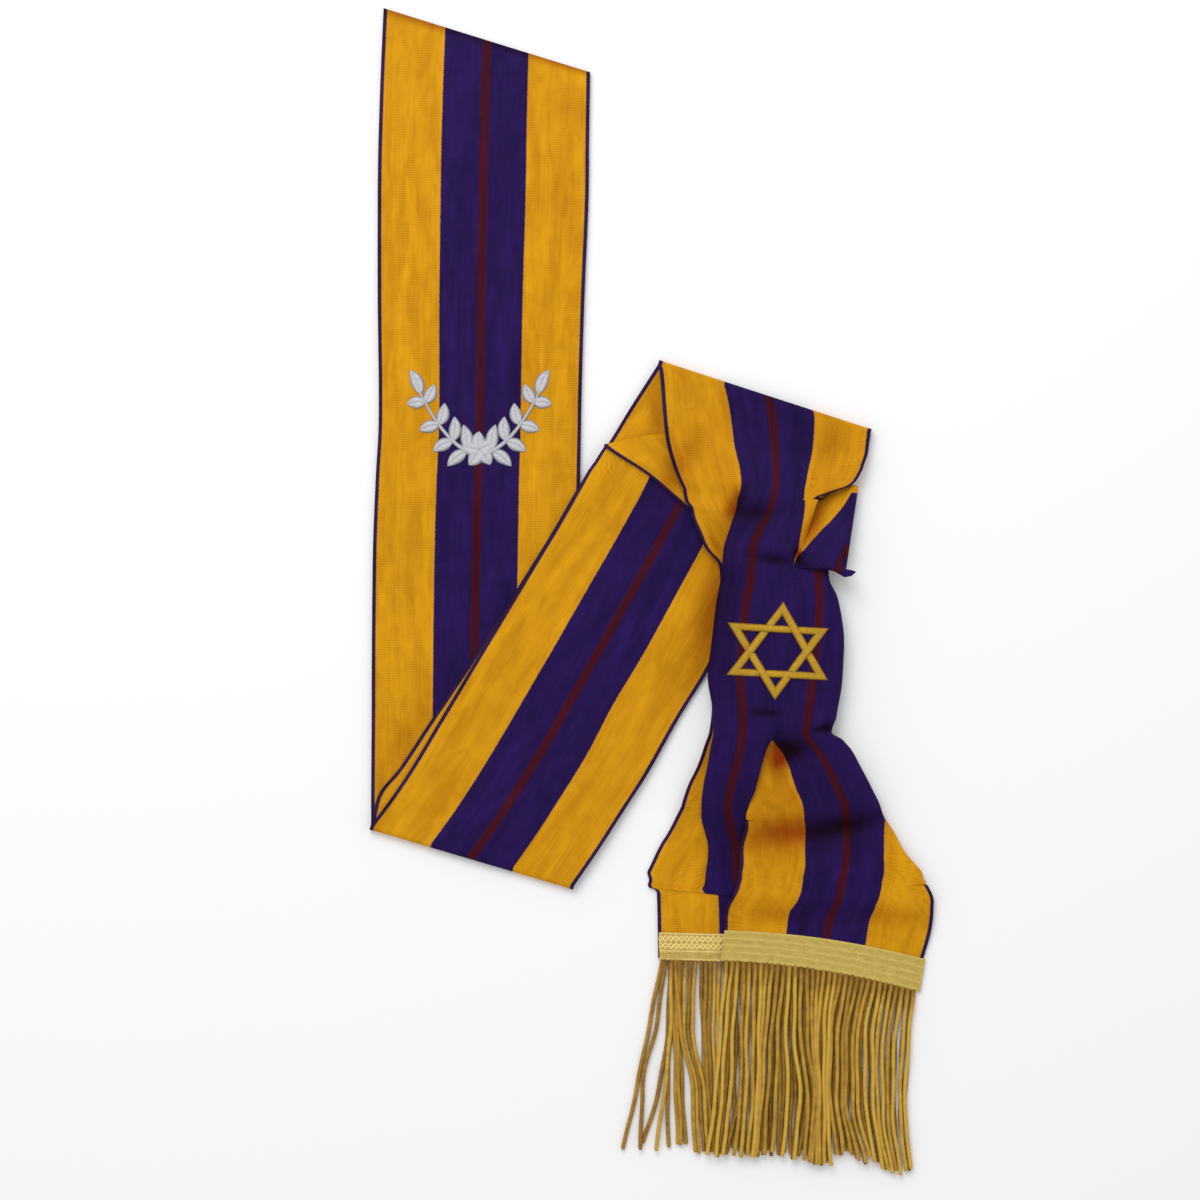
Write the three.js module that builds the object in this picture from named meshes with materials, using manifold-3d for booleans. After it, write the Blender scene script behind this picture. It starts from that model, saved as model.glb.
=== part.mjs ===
// Ceremonial sash, laid flat: two long striped ribbons sewn together at a slanted shoulder seam,
// folded into three limbs, gathered side by side in a knot with a gold star, and ending in two
// tails with gold braid and cord fringe. Sizes are in millimetres, +Z is up, and the sash lies
// on the plane z = 0 with the shoulder seam at +Y.

import * as THREE from 'three';
import { mergeVertices } from 'three/addons/utils/BufferGeometryUtils.js';
import Module from 'manifold-3d';

// Driving sizes
const ribbonWidth = 100;
const wall = 1;
const gap = 0.3;
const layerPitch = wall + gap;
const halfRibbon = ribbonWidth / 2;
const backRadius = layerPitch / 2;
const shortestLeg = 0.8;
const plainFold = 27;
const plainRadius = 0.7;

// Where the second limb slides off the edge of the left limb and comes down to the table
const limbEdgeX = -33;
const drapeRun = 60;

// Cross creases: radii of the cloth's middle surface, inner and outer ribbon, and the loose turn
const tightCrease = layerPitch / 2;
const wideCrease = 1.5 * layerPitch;
const looseCrease = 5.2;

// Which way each crease points in plan, in degrees from +X
const lowerLeftCrease = -106.44;
const frontTopCrease = 71.95;
const backTopCrease = 87.08;
const flapCrease = -2;
const tuckCrease = -97.99;

// Steps of the mesh: round a cross crease, along each leg of a gathered section, along a band
const creaseSteps = 3;
const legSteps = { start: 2, bend: 3, depth: 1, backBend: 2, rest: 1 };
const bandPieces = 12;
const weldDistance = 1e-4;

// How far the lower ribbon slips out beside the upper one in the second limb
const peek = 1.5;

// Height of the cloth's middle surface on the flat of the knot
const knotTop = 12.2;

// Star
const starX = 61.4;
const starY = -29.6;
const starHalfWidth = 24.2;
const starHalfHeight = 24;
const starBar = 2.8;
const starThickness = 1.5;
const starTurn = -3.5;

// Leaf spray
const sprayX = -83.2;
const sprayY = 83;
const sprayThickness = 1.6;
const stem = { x: 2, y: -17, run: 27, rise: 6, curl: 24, halfWidth: 0.9, pieces: 5 };
const leafWidth = 6;
const leafBelly = 0.35;
const leafFullness = 0.95;
const leafCurveSteps = 3;
const petal = { count: 5, y: -15, length: 9, width: 8 };

// Fringe
const fringeThickness = 1.8;
const lockCount = 13;
const lockShare = 0.86;
const lockSeat = 1.2;
const lockStations = [0, 0.12, 0.55, 1];
const lockTaper = [1, 1, 0.94, 0.5];
const floorLock = fringeThickness / 2;
const raisedLock = 3;
const pastLeftTail = 112;

const layer = (index) => wall / 2 + index * layerPitch;
const radians = (degrees) => (degrees * Math.PI) / 180;
const up = new THREE.Vector3(0, 0, 1);
const down = new THREE.Vector3(0, 0, -1);
const pointing = (degrees) => new THREE.Vector3(Math.cos(radians(degrees)), Math.sin(radians(degrees)), 0);

// Turns a heading line and rows of numbers into objects with those names
function table(heading, rows) {
  const names = heading.split(' ');
  return rows.map((row) => Object.fromEntries(names.map((name, index) => [name, row[index]])));
}

// Flat rows across the ribbon, from its first edge to its second

const leftLimb = table('x1 y1 x2 y2', [
  [-129.6, 282.0, -29.6, 251.0],
  [-131.5, 237.8, -30.1, 216.0],
  [-132.5, 189.3, -30.6, 182.0],
  [-132.5, 140.8, -32.5, 136.9],
  [-132.0, 82.5, -34.0, 80.1],
  [-133.5, 53.4, -34.5, 50.0],
  [-134.9, 14.6, -34.9, 7.3],
  [-135.4, -53.4, -36.4, -70.4],
  [-135.7, -113.7, -37.2, -142.8],
]);

const secondLimb = table('x1 y1 x2 y2', [
  [-135.7, -113.7, -37.2, -142.8],
  [-126.2, -101.0, -25.7, -126.2],
  [-117.0, -87.4, -14.1, -108.2],
  [-102.4, -63.1, -0.5, -87.1],
  [-87.9, -38.8, 13.1, -62.6],
  [-73.3, -14.6, 25.7, -38.8],
  [-58.7, 9.7, 38.8, -13.1],
  [-46.1, 30.6, 49.5, 7.3],
  [-34.5, 51.0, 60.2, 27.7],
]);

const frontLimbTop = table('x1 y1 x2 y2', [
  [-22.8, 68.0, 72.3, 42.7],
  [-10.2, 88.3, 88.3, 59.7],
  [3.2, 109.3, 104.6, 76.3],
]);

const backLimbTop = table('x1 y1 x2 y2 bow', [
  [-28.7, 60.5, 70.0, 45.0, 3.5],
  [-22.8, 69.4, 81.1, 64.1, 9.7],
]);

const backCrossing = table('x1 y1 x2 y2 bow', [
  [-22.8, 69.4, 81.1, 64.1, 9.7],
  [-1.0, 55.3, 87.9, 62.1, 5],
  [19.4, 38.3, 92.2, 59.2, 2],
  [45.6, 21.8, 94.1, 56.3, 0],
]);

// Gathered rows: x and y of the ribbon's middle line, the height of its face, how the row leans
// in plan and tips on end, and for each half where the cloth folds under, the fold's radius, how
// far round it goes and where the ribbon's edge lies. The folded cloth comes back in a zigzag.

const gatherHeading = [
  'x y top lean tip stretch bow droop',
  'fold1 radius1 turn1 edge1 fold2 radius2 turn2 edge2',
].join(' ');

const frontGather = table(gatherHeading, [
  [53.9, 92.8, 4.4, -18, 0, 1.066, 0, 0, 25, 0.7, 0, 50, 25, 0.7, 0, 50],
  [55.3, 89.0, 4.4, -15.3, 0, 1.05, 0, 0, 25, 0.7, 0, 50, 25, 0.7, 0, 50],
  [57.3, 81.5, 4.4, -9.2, 0, 1, 0, 0, 25, 0.7, 0, 50, 27, 0.7, 0, 50],
  [58.7, 69.4, 5, -4.4, 0, 0.95, 0, 0, 24, 0.7, 0, 50, 32, 0.7, 0, 50],
  [59.2, 59.2, 6.2, 0, 0, 0.88, 0, 0, 22, 0.7, 0, 50, 36, 0.7, 0, 50],
  [60.2, 53.4, 7.7, 0, 0, 0.93, 0, 0, 20, 0.7, 50, 45, 38, 0.7, 180, 38.5],
  [60.2, 48.5, 8.7, 0, 0, 0.96, 0, 0, 18, 0.7, 110, 43.7, 26.5, 0.7, 180, 25],
  [57.8, 38.3, 9.3, 0, 0, 1, 0, 0, 17, 0.9, 180, 37.9, 20.8, 0.7, 180, 19.5],
  [50.5, 26.7, 10.8, 0, 0, 1, 0, 0, 14.1, 1.6, 180, 26.2, 24.6, 0.9, 180, 23.4],
  [48.5, 18.9, 12, 0, 0, 1, 0, 0, 13.6, 2.6, 180, 19.9, 22, 1.1, 180, 20.8],
  [48.1, 12.1, 12.2, 0, 0, 1, 0, 0, 13.8, 3.2, 180, 15.4, 19.1, 1.3, 180, 18],
  [47.6, 4.9, 12.2, 0, 0, 1, 0, 0, 14.1, 3.6, 180, 14.2, 14.6, 1.4, 180, 13.6],
  [45.6, -7.3, 12.2, 0, 0, 1, 0, 0, 14.1, 3.6, 180, 13.8, 14.8, 1.4, 180, 13.8],
  [44.2, -24.3, 12.2, 0, 0, 1, 0, 0, 14.5, 3.6, 180, 14.2, 16.1, 1.4, 180, 15.1],
  [42.7, -42.2, 12.2, 0, 0, 1, 0, 0, 14.5, 3.6, 180, 14.2, 17.1, 1.4, 180, 16.1],
  [43.7, -57.3, 12, 0, 0, 1, 0, 0, 14.1, 3.6, 180, 14.4, 15.6, 1.4, 180, 14.6],
  [43.7, -68.0, 10, 0, -5, 1, 0, 0, 13.6, 3, 180, 15.6, 15, 1.2, 180, 14],
  [42.8, -75.5, 8.6, 0, -9, 1, 0, 0, 14.2, 2.5, 180, 18, 16, 1, 180, 15],
  [41.7, -83.5, 7.2, 0, -8, 1, 0, 0, 14.5, 2, 180, 20.4, 20, 0.8, 180, 19],
  [38.3, -95.6, 5, 0, -3, 1, 0, 0, 13.1, 1.1, 180, 20.4, 30, 0.7, 180, 29],
  [37.4, -109.2, 3.6, 0, 0, 1, 0, 0, 13.1, 0.8, 180, 23.3, 40, 0.7, 180, 39],
  [40.8, -124.3, 3.45, -2, 0, 1, 0, 0, 13.6, 0.7, 180, 34.9, 42, 0.7, 0, 50],
  [41.7, -138.8, 3.45, -4, 0, 1, 0, 0, 15, 0.7, 180, 43.2, 40, 0.7, 0, 50],
  [44.2, -145.5, 3.1, -8, 0, 0.97, 0, 0, 25, 0.7, 0, 50, 30, 0.7, 0, 50],
]);

// A short tuck across the left tail, then the stretch under the braid
const tuckDepth = 6;
const tuckShift = -0.5;
const frontTailEnd = table(gatherHeading, [
  [50.3, -146.5, 0.5, -6, 0, 1, 0, 0, 25, 0.7, 0, 50, 30, 0.7, 0, 50],
  [52.4, -157.0, 0.5, -2, 0, 1, 0, 0, 25, 0.7, 0, 50, 30, 0.7, 0, 50],
  [52.6, -166.4, 0.5, -1.5, 0, 1, 0, 0, 25, 0.7, 0, 50, 30, 0.7, 0, 50],
  [53.0, -179.6, 0.5, -1.5, 0, 1, 0, 0, 25, 0.7, 0, 50, 30, 0.7, 0, 50],
]);

const backUnder = table(gatherHeading, [
  [80.1, 27.2, 0.8, 59, 0, 1, 0, 0, 17, 0.7, 180, 16, 22, 0.7, 180, 27],
  [91.7, 18.4, 0.5, 88, 0, 1, 0, 0, 9.2, 0.7, 180, 8.2, 20.2, 0.7, 180, 30.2],
]);

const backGather = table(gatherHeading, [
  [91.7, 18.4, 10.9, 88, 0, 1, 0, 0, 9.2, 0.7, 180, 8.2, 20.2, 0.7, 180, 30.2],
  [90.8, 16.5, 11.8, 98, 0, 1, 0, 0, 9.2, 0.7, 180, 8.2, 20.2, 0.7, 180, 30.5],
  [90.3, 13.6, 12.8, 107.5, 0, 1, 0, 0, 8.7, 0.8, 180, 7.7, 20.2, 0.8, 180, 28.5],
  [89.0, 9.7, 13.6, 126, 0, 1, 0, 0, 8.2, 1.2, 180, 7.2, 19.5, 1, 180, 20.5],
  [86.4, 5.3, 13.6, 148, 0, 1, 0, 0, 8.2, 2, 180, 7.2, 18.4, 1.2, 180, 17.4],
  [81.1, -2.9, 12.4, 175, 0, 1, 0, 0, 9.5, 3.2, 180, 8.5, 19.2, 1.4, 180, 18.2],
  [80.3, -17.0, 12.2, 180, 0, 1, 0, 0, 11.6, 3.6, 180, 10.6, 18.6, 1.4, 180, 17.6],
  [79.1, -29.1, 12.2, 180, 0, 1, 0, 0, 13.6, 3.6, 180, 12.6, 17.5, 1.4, 180, 16.5],
  [77.7, -46.1, 12.2, 180, 0, 1, 0, 0, 14.1, 3.6, 180, 13.1, 16.6, 1.4, 180, 15.6],
  [76.7, -60.7, 12.2, 180, 0, 1, 0, 0, 13.6, 3.6, 180, 12.6, 16.1, 1.4, 180, 15.1],
  [75.7, -71.4, 11.6, 180, 0, 1, 0, 0, 12.6, 3.4, 180, 11.6, 15.6, 1.3, 180, 14.6],
  [80.1, -77.7, 11, 180, 0, 1, 0, 0, 16.5, 3, 180, 15.5, 22.8, 0.9, 180, 21.8],
  [84.9, -85.4, 10.2, 180, 0, 1, 0, 0, 17, 2.6, 180, 16, 31.1, 0.7, 180, 30],
  [90.3, -96.6, 8.8, 180, 0, 1, 0, 0, 17.9, 2.2, 180, 16.9, 39.8, 0.7, 180, 38.8],
  [93.7, -104.8, 8.2, 180, 0, 1, 0, 0.4, 17.9, 1.8, 180, 17.4, 43, 0.7, 180, 44.5],
  [95.1, -116.5, 6.4, 179, 0, 1, 0, 0.9, 21.8, 1.2, 180, 22.3, 42, 0.7, 0, 50],
  [95.1, -126.2, 5.8, 179, 0, 1, 0, 1.2, 26.2, 0.8, 180, 27.5, 40, 0.7, 0, 50],
  [94.7, -134.5, 5.4, 178, 0, 1, 0, 1.4, 31, 0.7, 180, 34.5, 40, 0.7, 0, 50],
  [93.2, -142.7, 5.2, 177, 0, 1, 0.5, 1.6, 35, 0.7, 180, 40.8, 40, 0.7, 0, 50],
  [88.8, -151.0, 4.8, 176, 0, 0.97, 1, 1.9, 36, 0.7, 0, 50, 40, 0.7, 0, 50],
  [87.4, -160.2, 4, 174, 0, 0.985, -2, 2.2, 36, 0.7, 0, 50, 36, 0.7, 0, 50],
  [85.4, -171.4, 3.1, 171.7, 0, 0.97, -3, 2.4, 30, 0.7, 0, 50, 30, 0.7, 0, 50],
  [83.0, -186.0, 3.1, 171, 0, 0.96, -3, 2.4, 30, 0.7, 0, 50, 30, 0.7, 0, 50],
]);

// Braid bands and fringe heads follow the foot of each tail
const bandHeading = 'x y top lean stretch bow droop';

const leftBraidRows = table(bandHeading, [
  [52.7, -167.0, 1.8, -1.5, 1.005, 0, 0],
  [53.0, -180.0, 1.8, -1.5, 1.005, 0, 0],
]);

const rightBraidRows = table(bandHeading, [
  [85.4, -171.6, 4.4, 171.7, 0.98, -3, 2.4],
  [83.0, -186.4, 4.4, 171, 0.97, -3, 2.4],
]);

const leftFringeHead = table(bandHeading, [
  [53.0, -181.0, 0.9, -1.5, 1, 0, 0],
  [53.2, -185.0, 0.9, -1.5, 1, 0, 0],
]);

const rightFringeHead = table(bandHeading, [
  [82.9, -187.4, 3.0, 171, 0.96, -3, 2.1],
  [82.3, -191.3, 3.0, 171, 0.95, -3, 2.1],
]);

// Where each lock of the fringe ends, in order along its head
const leftTips = table('x y', [
  [-14, -270.9], [-4, -271.4], [3, -272.3], [10, -270.9], [16.5, -270.4], [23, -273.3], [30.5, -273.8],
  [38, -274], [46, -274.3], [54, -274.4], [62, -275], [70, -276], [78.5, -277],
]);

const rightTips = table('x y', [
  [123.5, -282.1], [115, -280.5], [107.5, -279.9], [101, -263], [92, -279.6], [84, -279.2], [76.5, -278],
  [69, -276.7], [62, -276], [54, -274.2], [46, -274], [38.5, -274.2], [31.5, -273.5],
]);

// Cloth walls

function drape(x) {
  const share = THREE.MathUtils.smoothstep(x, limbEdgeX, limbEdgeX + drapeRun);
  return 2 * layerPitch * (1 - share);
}

// A flat row between two edge points
function flatRow({ x1, y1, x2, y2, bow = 0 }, height, normal, shift = 0) {
  const length = Math.hypot(x2 - x1, y2 - y1);
  const angle = Math.atan2(y2 - y1, x2 - x1);
  const side = { fold: plainFold, radius: plainRadius, turn: 0, edge: halfRibbon };
  return {
    x: (x1 + x2) / 2 + shift * Math.cos(angle),
    y: (y1 + y2) / 2 + shift * Math.sin(angle),
    z: height,
    angle,
    tip: 0,
    droop: 0,
    bow,
    stretch: length / ribbonWidth,
    normal,
    sides: [side, side],
  };
}

function gatheredRow(row, normal) {
  return {
    x: row.x,
    y: row.y,
    z: row.top,
    angle: radians(row.lean),
    tip: radians(row.tip),
    droop: row.droop,
    bow: row.bow,
    stretch: row.stretch,
    normal,
    sides: [
      { fold: row.fold1, radius: row.radius1, turn: row.turn1, edge: row.edge1 },
      { fold: row.fold2, radius: row.radius2, turn: row.turn2, edge: row.edge2 },
    ],
  };
}

// Half turn of the cloth about a crease, from the last row below it to the first row above it.
// The face is on the outside of the turn or, with inward set, on its inside.
function creaseRows(row, radius, outward, rising, inward) {
  const face = inward ? -1 : 1;
  const way = rising ? -1 : 1;
  const rows = [];
  for (let step = 1; step <= creaseSteps; step += 1) {
    const swing = way * (Math.PI / 2 - (step * Math.PI) / (creaseSteps + 1));
    const normal = outward.clone().multiplyScalar(Math.cos(swing)).setZ(Math.sin(swing));
    rows.push({
      ...row,
      x: row.x + outward.x * radius * Math.cos(swing),
      y: row.y + outward.y * radius * Math.cos(swing),
      z: row.z + radius * (Math.sin(swing) - way),
      normal: normal.multiplyScalar(face),
    });
  }
  return rows;
}

// Walks from the middle line to one edge, through the fold and back, in the row's own plane
function walkSide({ fold, radius, turn, edge }) {
  const angle = radians(turn);
  const bend = Math.PI * radius;
  const backBend = Math.PI * backRadius;
  const start = fold - radius * Math.sin(Math.min(angle, Math.PI / 2));
  const depth = Math.max(shortestLeg, (halfRibbon - edge - bend - backBend) / 2);
  const rest = halfRibbon - start - bend - depth - backBend;
  const legs = [
    { length: start, turn: 0, steps: legSteps.start },
    { length: bend, turn: angle, steps: legSteps.bend },
    { length: depth, turn: 0, steps: legSteps.depth },
    { length: backBend, turn: -angle, steps: legSteps.backBend },
    { length: rest, turn: 0, steps: legSteps.rest },
  ];
  let across = 0;
  let behind = 0;
  let heading = 0;
  const points = [];
  for (const leg of legs) {
    for (let step = 0; step < leg.steps; step += 1) {
      const middle = heading + leg.turn / leg.steps / 2;
      across += (leg.length / leg.steps) * Math.cos(middle);
      behind += (leg.length / leg.steps) * Math.sin(middle);
      heading += leg.turn / leg.steps;
      points.push({ across, behind });
    }
  }
  return points;
}

// Points of one row across the ribbon, first edge to second
function rowPoints(row, draped) {
  const first = walkSide(row.sides[0]).map(({ across, behind }) => ({ across: -across, behind }));
  const second = walkSide(row.sides[1]);
  const section = [...first.reverse(), { across: 0, behind: 0 }, ...second];
  const along = new THREE.Vector3(Math.cos(row.angle), Math.sin(row.angle), 0);
  const square = new THREE.Vector3(-along.y, along.x, 0);
  return section.map(({ across, behind }) => {
    const share = across / halfRibbon;
    const reach = across * Math.cos(row.tip) * row.stretch;
    const point = new THREE.Vector3(row.x, row.y, row.z);
    point.addScaledVector(along, reach);
    point.addScaledVector(square, row.bow * (1 - share * share));
    point.addScaledVector(row.normal, -behind);
    point.z += across * Math.sin(row.tip);
    point.z += share < 0 ? row.droop * share ** 3 : 0;
    point.z += draped ? drape(point.x) : 0;
    return point;
  });
}

// Closed wall of even thickness about a grid of points
function wallAbout(grid, thickness) {
  const rows = grid.length;
  const columns = grid[0].length;
  const clamp = THREE.MathUtils.clamp;
  const at = (row, column) => grid[clamp(row, 0, rows - 1)][clamp(column, 0, columns - 1)];
  const positions = [];
  for (const side of [0.5, -0.5]) {
    for (let row = 0; row < rows; row += 1) {
      for (let column = 0; column < columns; column += 1) {
        const across = at(row, column + 1).clone().sub(at(row, column - 1));
        const along = at(row + 1, column).clone().sub(at(row - 1, column));
        const normal = across.cross(along).normalize();
        const point = at(row, column).clone().addScaledVector(normal, -side * thickness);
        positions.push(point.x, point.y, point.z);
      }
    }
  }
  const backStart = rows * columns;
  const index = (row, column) => row * columns + column;
  const indices = [];
  const quad = (a, b, c, d) => indices.push(a, b, c, a, c, d);
  for (let row = 0; row < rows - 1; row += 1) {
    for (let column = 0; column < columns - 1; column += 1) {
      const corner = index(row, column);
      const corners = [corner, corner + columns, corner + columns + 1, corner + 1];
      quad(...corners);
      quad(...corners.reverse().map((corner) => corner + backStart));
    }
  }
  const rim = [];
  for (let column = 0; column < columns - 1; column += 1) rim.push(index(0, column));
  for (let row = 0; row < rows - 1; row += 1) rim.push(index(row, columns - 1));
  for (let column = columns - 1; column > 0; column -= 1) rim.push(index(rows - 1, column));
  for (let row = rows - 1; row > 0; row -= 1) rim.push(index(row, 0));
  rim.forEach((here, place) => {
    const next = rim[(place + 1) % rim.length];
    quad(here, next, next + backStart, here + backStart);
  });
  const geometry = new THREE.BufferGeometry();
  geometry.setAttribute('position', new THREE.Float32BufferAttribute(positions, 3));
  geometry.setIndex(indices);
  return geometry;
}

const pointRows = (rows, draped) => rows.map((row) => rowPoints(row, draped));

function frontRibbonGeometry() {
  const first = leftLimb.map((row) => flatRow(row, layer(1), up));
  const second = [...secondLimb, ...frontLimbTop].map((row, place) => (
    flatRow(row, layer(0), down, place > 0 && place < secondLimb.length ? -peek : 0)
  ));
  const third = frontGather.map((row) => gatheredRow(row, up));
  const foot = third.at(-1);
  const tuckUnder = { ...foot, x: foot.x + tuckShift, y: foot.y + tuckDepth, z: layer(1), normal: down };
  const tail = frontTailEnd.map((row) => gatheredRow(row, up));
  const tailDown = pointing(tuckCrease);
  const tailUp = tailDown.clone().negate();
  const grid = [
    ...pointRows(first, false),
    ...pointRows(creaseRows(first.at(-1), tightCrease, pointing(lowerLeftCrease), true, true), false),
    ...pointRows(second, true),
    ...pointRows(creaseRows(second.at(-1), wideCrease, pointing(frontTopCrease), true, false), true),
    ...third.map((row) => rowPoints(row, row.y > 0)),
    ...pointRows(creaseRows(foot, tightCrease, tailDown, false, false), false),
    rowPoints(tuckUnder, false),
    ...pointRows(creaseRows(tuckUnder, tightCrease, tailUp, false, true), false),
    ...pointRows(tail, false),
  ];
  return wallAbout(grid, wall);
}

function backRibbonGeometry() {
  const first = leftLimb.map((row) => flatRow(row, layer(0), down));
  const second = [...secondLimb, ...backLimbTop].map((row) => flatRow(row, layer(1), up));
  const crossing = backCrossing.map((row) => flatRow(row, layer(2), down));
  const under = backUnder.map((row) => gatheredRow(row, down));
  const third = backGather.map((row) => gatheredRow(row, up));
  const grid = [
    ...pointRows(first, false),
    ...pointRows(creaseRows(first.at(-1), wideCrease, pointing(lowerLeftCrease), true, false), false),
    ...pointRows(second, true),
    ...pointRows(creaseRows(second.at(-1), tightCrease, pointing(backTopCrease), true, true), true),
    ...pointRows(crossing, true),
    ...pointRows(under, false),
    ...pointRows(creaseRows(under.at(-1), looseCrease, pointing(flapCrease), true, false), false),
    ...pointRows(third, false),
  ];
  return wallAbout(grid, wall);
}

// Bands across the foot of a tail

function bandPoint(row, across) {
  const angle = radians(row.lean);
  const share = across / halfRibbon;
  const bow = row.bow * (1 - share * share);
  return new THREE.Vector3(
    row.x + across * row.stretch * Math.cos(angle) - bow * Math.sin(angle),
    row.y + across * row.stretch * Math.sin(angle) + bow * Math.cos(angle),
    row.top + (share < 0 ? row.droop * share ** 3 : 0),
  );
}

function bandGeometry(rows, thickness) {
  const grid = rows.map((row) => {
    const points = [];
    for (let place = 0; place <= bandPieces; place += 1) {
      points.push(bandPoint(row, -halfRibbon + (place * ribbonWidth) / bandPieces));
    }
    return points;
  });
  return wallAbout(grid, thickness);
}

// Joining solids

const wasm = await Module();
wasm.setup();

function toManifold(geometry) {
  const bare = geometry.clone();
  bare.deleteAttribute('normal');
  bare.deleteAttribute('uv');
  const merged = mergeVertices(bare, weldDistance);
  return new wasm.Manifold(new wasm.Mesh({
    numProp: 3,
    vertProperties: new Float32Array(merged.attributes.position.array),
    triVerts: new Uint32Array(merged.index.array),
  }));
}

function joined(geometries) {
  const solid = geometries.map(toManifold).reduce((sum, next) => sum.add(next));
  const mesh = solid.getMesh();
  const geometry = new THREE.BufferGeometry();
  geometry.setAttribute('position', new THREE.BufferAttribute(mesh.vertProperties, 3));
  geometry.setIndex(new THREE.BufferAttribute(mesh.triVerts, 1));
  return geometry;
}

// Star of two crossing triangles

function triangleOutline(turn, scale) {
  return [0, 1, 2].map((corner) => {
    const angle = radians(90 + turn + corner * 120);
    const reach = 2 / Math.sqrt(3);
    return new THREE.Vector2(
      scale * starHalfWidth * reach * Math.cos(angle),
      scale * starHalfHeight * Math.sin(angle),
    );
  });
}

function starGeometry() {
  const inner = 1 - (2 * starBar) / starHalfHeight;
  const triangles = [0, 180].map((turn) => {
    const shape = new THREE.Shape(triangleOutline(turn, 1));
    shape.holes.push(new THREE.Path(triangleOutline(turn, inner).reverse()));
    return new THREE.ExtrudeGeometry(shape, { depth: starThickness, bevelEnabled: false });
  });
  return joined(triangles);
}

// Leaf spray: two mirrored stems with leaves, meeting at a small flower

function leafShape(length, width) {
  const shape = new THREE.Shape();
  shape.moveTo(0, 0);
  shape.quadraticCurveTo(length * leafBelly, width * leafFullness, length, 0);
  shape.quadraticCurveTo(length * leafBelly, -width * leafFullness, 0, 0);
  return shape;
}

function placedLeaf({ x, y, turn, length, width }) {
  const settings = { depth: sprayThickness, bevelEnabled: false, curveSegments: leafCurveSteps };
  const leaf = new THREE.ExtrudeGeometry(leafShape(length, width), settings);
  leaf.rotateZ(radians(turn));
  leaf.translate(x, y, 0);
  return leaf;
}

// Leaves along one stem: how far along, the way each points and its length
const leaves = table('share turn length', [
  [0.15, 82, 13],
  [0.15, -38, 12],
  [0.4, 93, 12],
  [0.4, -27, 11],
  [0.65, 104, 11],
  [0.65, -16, 10],
  [0.9, 115, 10],
  [0.9, -5, 9],
  [0.98, 66, 13],
]);

function stemPoint(share) {
  return { x: stem.x + stem.run * share, y: stem.y + stem.rise * share + stem.curl * share * share };
}

function stemGeometry() {
  const lower = [];
  const upper = [];
  for (let place = 0; place <= stem.pieces; place += 1) {
    const { x, y } = stemPoint(place / stem.pieces);
    lower.push(new THREE.Vector2(x + stem.halfWidth, y - stem.halfWidth));
    upper.push(new THREE.Vector2(x - stem.halfWidth, y + stem.halfWidth));
  }
  const shape = new THREE.Shape([...lower, ...upper.reverse()]);
  return new THREE.ExtrudeGeometry(shape, { depth: sprayThickness, bevelEnabled: false });
}

function petalGeometry(turn) {
  return placedLeaf({ x: 0, y: petal.y, turn, length: petal.length, width: petal.width });
}

function mirrored(geometry) {
  const copy = geometry.clone();
  copy.scale(-1, 1, 1);
  const positions = copy.attributes.position;
  for (let corner = 0; corner < positions.count; corner += 3) {
    const first = new THREE.Vector3().fromBufferAttribute(positions, corner);
    const second = new THREE.Vector3().fromBufferAttribute(positions, corner + 1);
    positions.setXYZ(corner, ...second);
    positions.setXYZ(corner + 1, ...first);
  }
  return copy;
}

function sprayGeometry() {
  const half = leaves.map(({ share, turn, length }) => (
    placedLeaf({ ...stemPoint(share), turn, length, width: leafWidth })
  ));
  half.push(stemGeometry());
  const petals = [];
  for (let place = 0; place < petal.count; place += 1) {
    petals.push(petalGeometry(90 + (place * 360) / petal.count));
  }
  return joined([...petals, ...half, ...half.map((piece) => mirrored(piece))]);
}

// Fringe: flat locks fused to a head that runs along the foot of the tail

function lockGeometry(top, tip, width) {
  const grid = lockStations.map((share, place) => {
    const ease = THREE.MathUtils.smoothstep(share, 0, 1);
    const x = THREE.MathUtils.lerp(top.x, tip.x, ease);
    const y = THREE.MathUtils.lerp(top.y, tip.y, share);
    const z = THREE.MathUtils.lerp(top.z, tip.z, ease);
    const half = (width * lockTaper[place]) / 2;
    return [new THREE.Vector3(x - half, y, z), new THREE.Vector3(x + half, y, z)];
  });
  return wallAbout(grid, fringeThickness);
}

function fringeGeometry(headRows, tips, heightAt) {
  const pitch = ribbonWidth / lockCount;
  const locks = tips.map((tip, place) => {
    const across = -halfRibbon + (place + 0.5) * pitch;
    const top = bandPoint(headRows[1], across);
    top.y += lockSeat;
    return lockGeometry(top, new THREE.Vector3(tip.x, tip.y, heightAt(top)), pitch * lockShare);
  });
  return joined([bandGeometry(headRows, fringeThickness), ...locks]);
}

// The sash

function solid(name, geometry, look) {
  const flat = geometry.index ? geometry.toNonIndexed() : geometry;
  flat.computeVertexNormals();
  const mesh = new THREE.Mesh(flat, new THREE.MeshStandardMaterial(look));
  mesh.name = name;
  return mesh;
}

const satin = { color: '#3a1c6e', roughness: 0.55, metalness: 0 };
const goldSatin = { color: '#f0b21c', roughness: 0.55, metalness: 0 };
const goldThread = { color: '#d9a52a', roughness: 0.4, metalness: 0.4 };
const paleGold = { color: '#d2b059', roughness: 0.4, metalness: 0.4 };
const whiteThread = { color: '#e6e6ea', roughness: 0.5, metalness: 0 };
const cordGold = { color: '#b4872d', roughness: 0.5, metalness: 0.3 };

const tipHeight = ({ x }) => (x > pastLeftTail ? floorLock : raisedLock);

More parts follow.
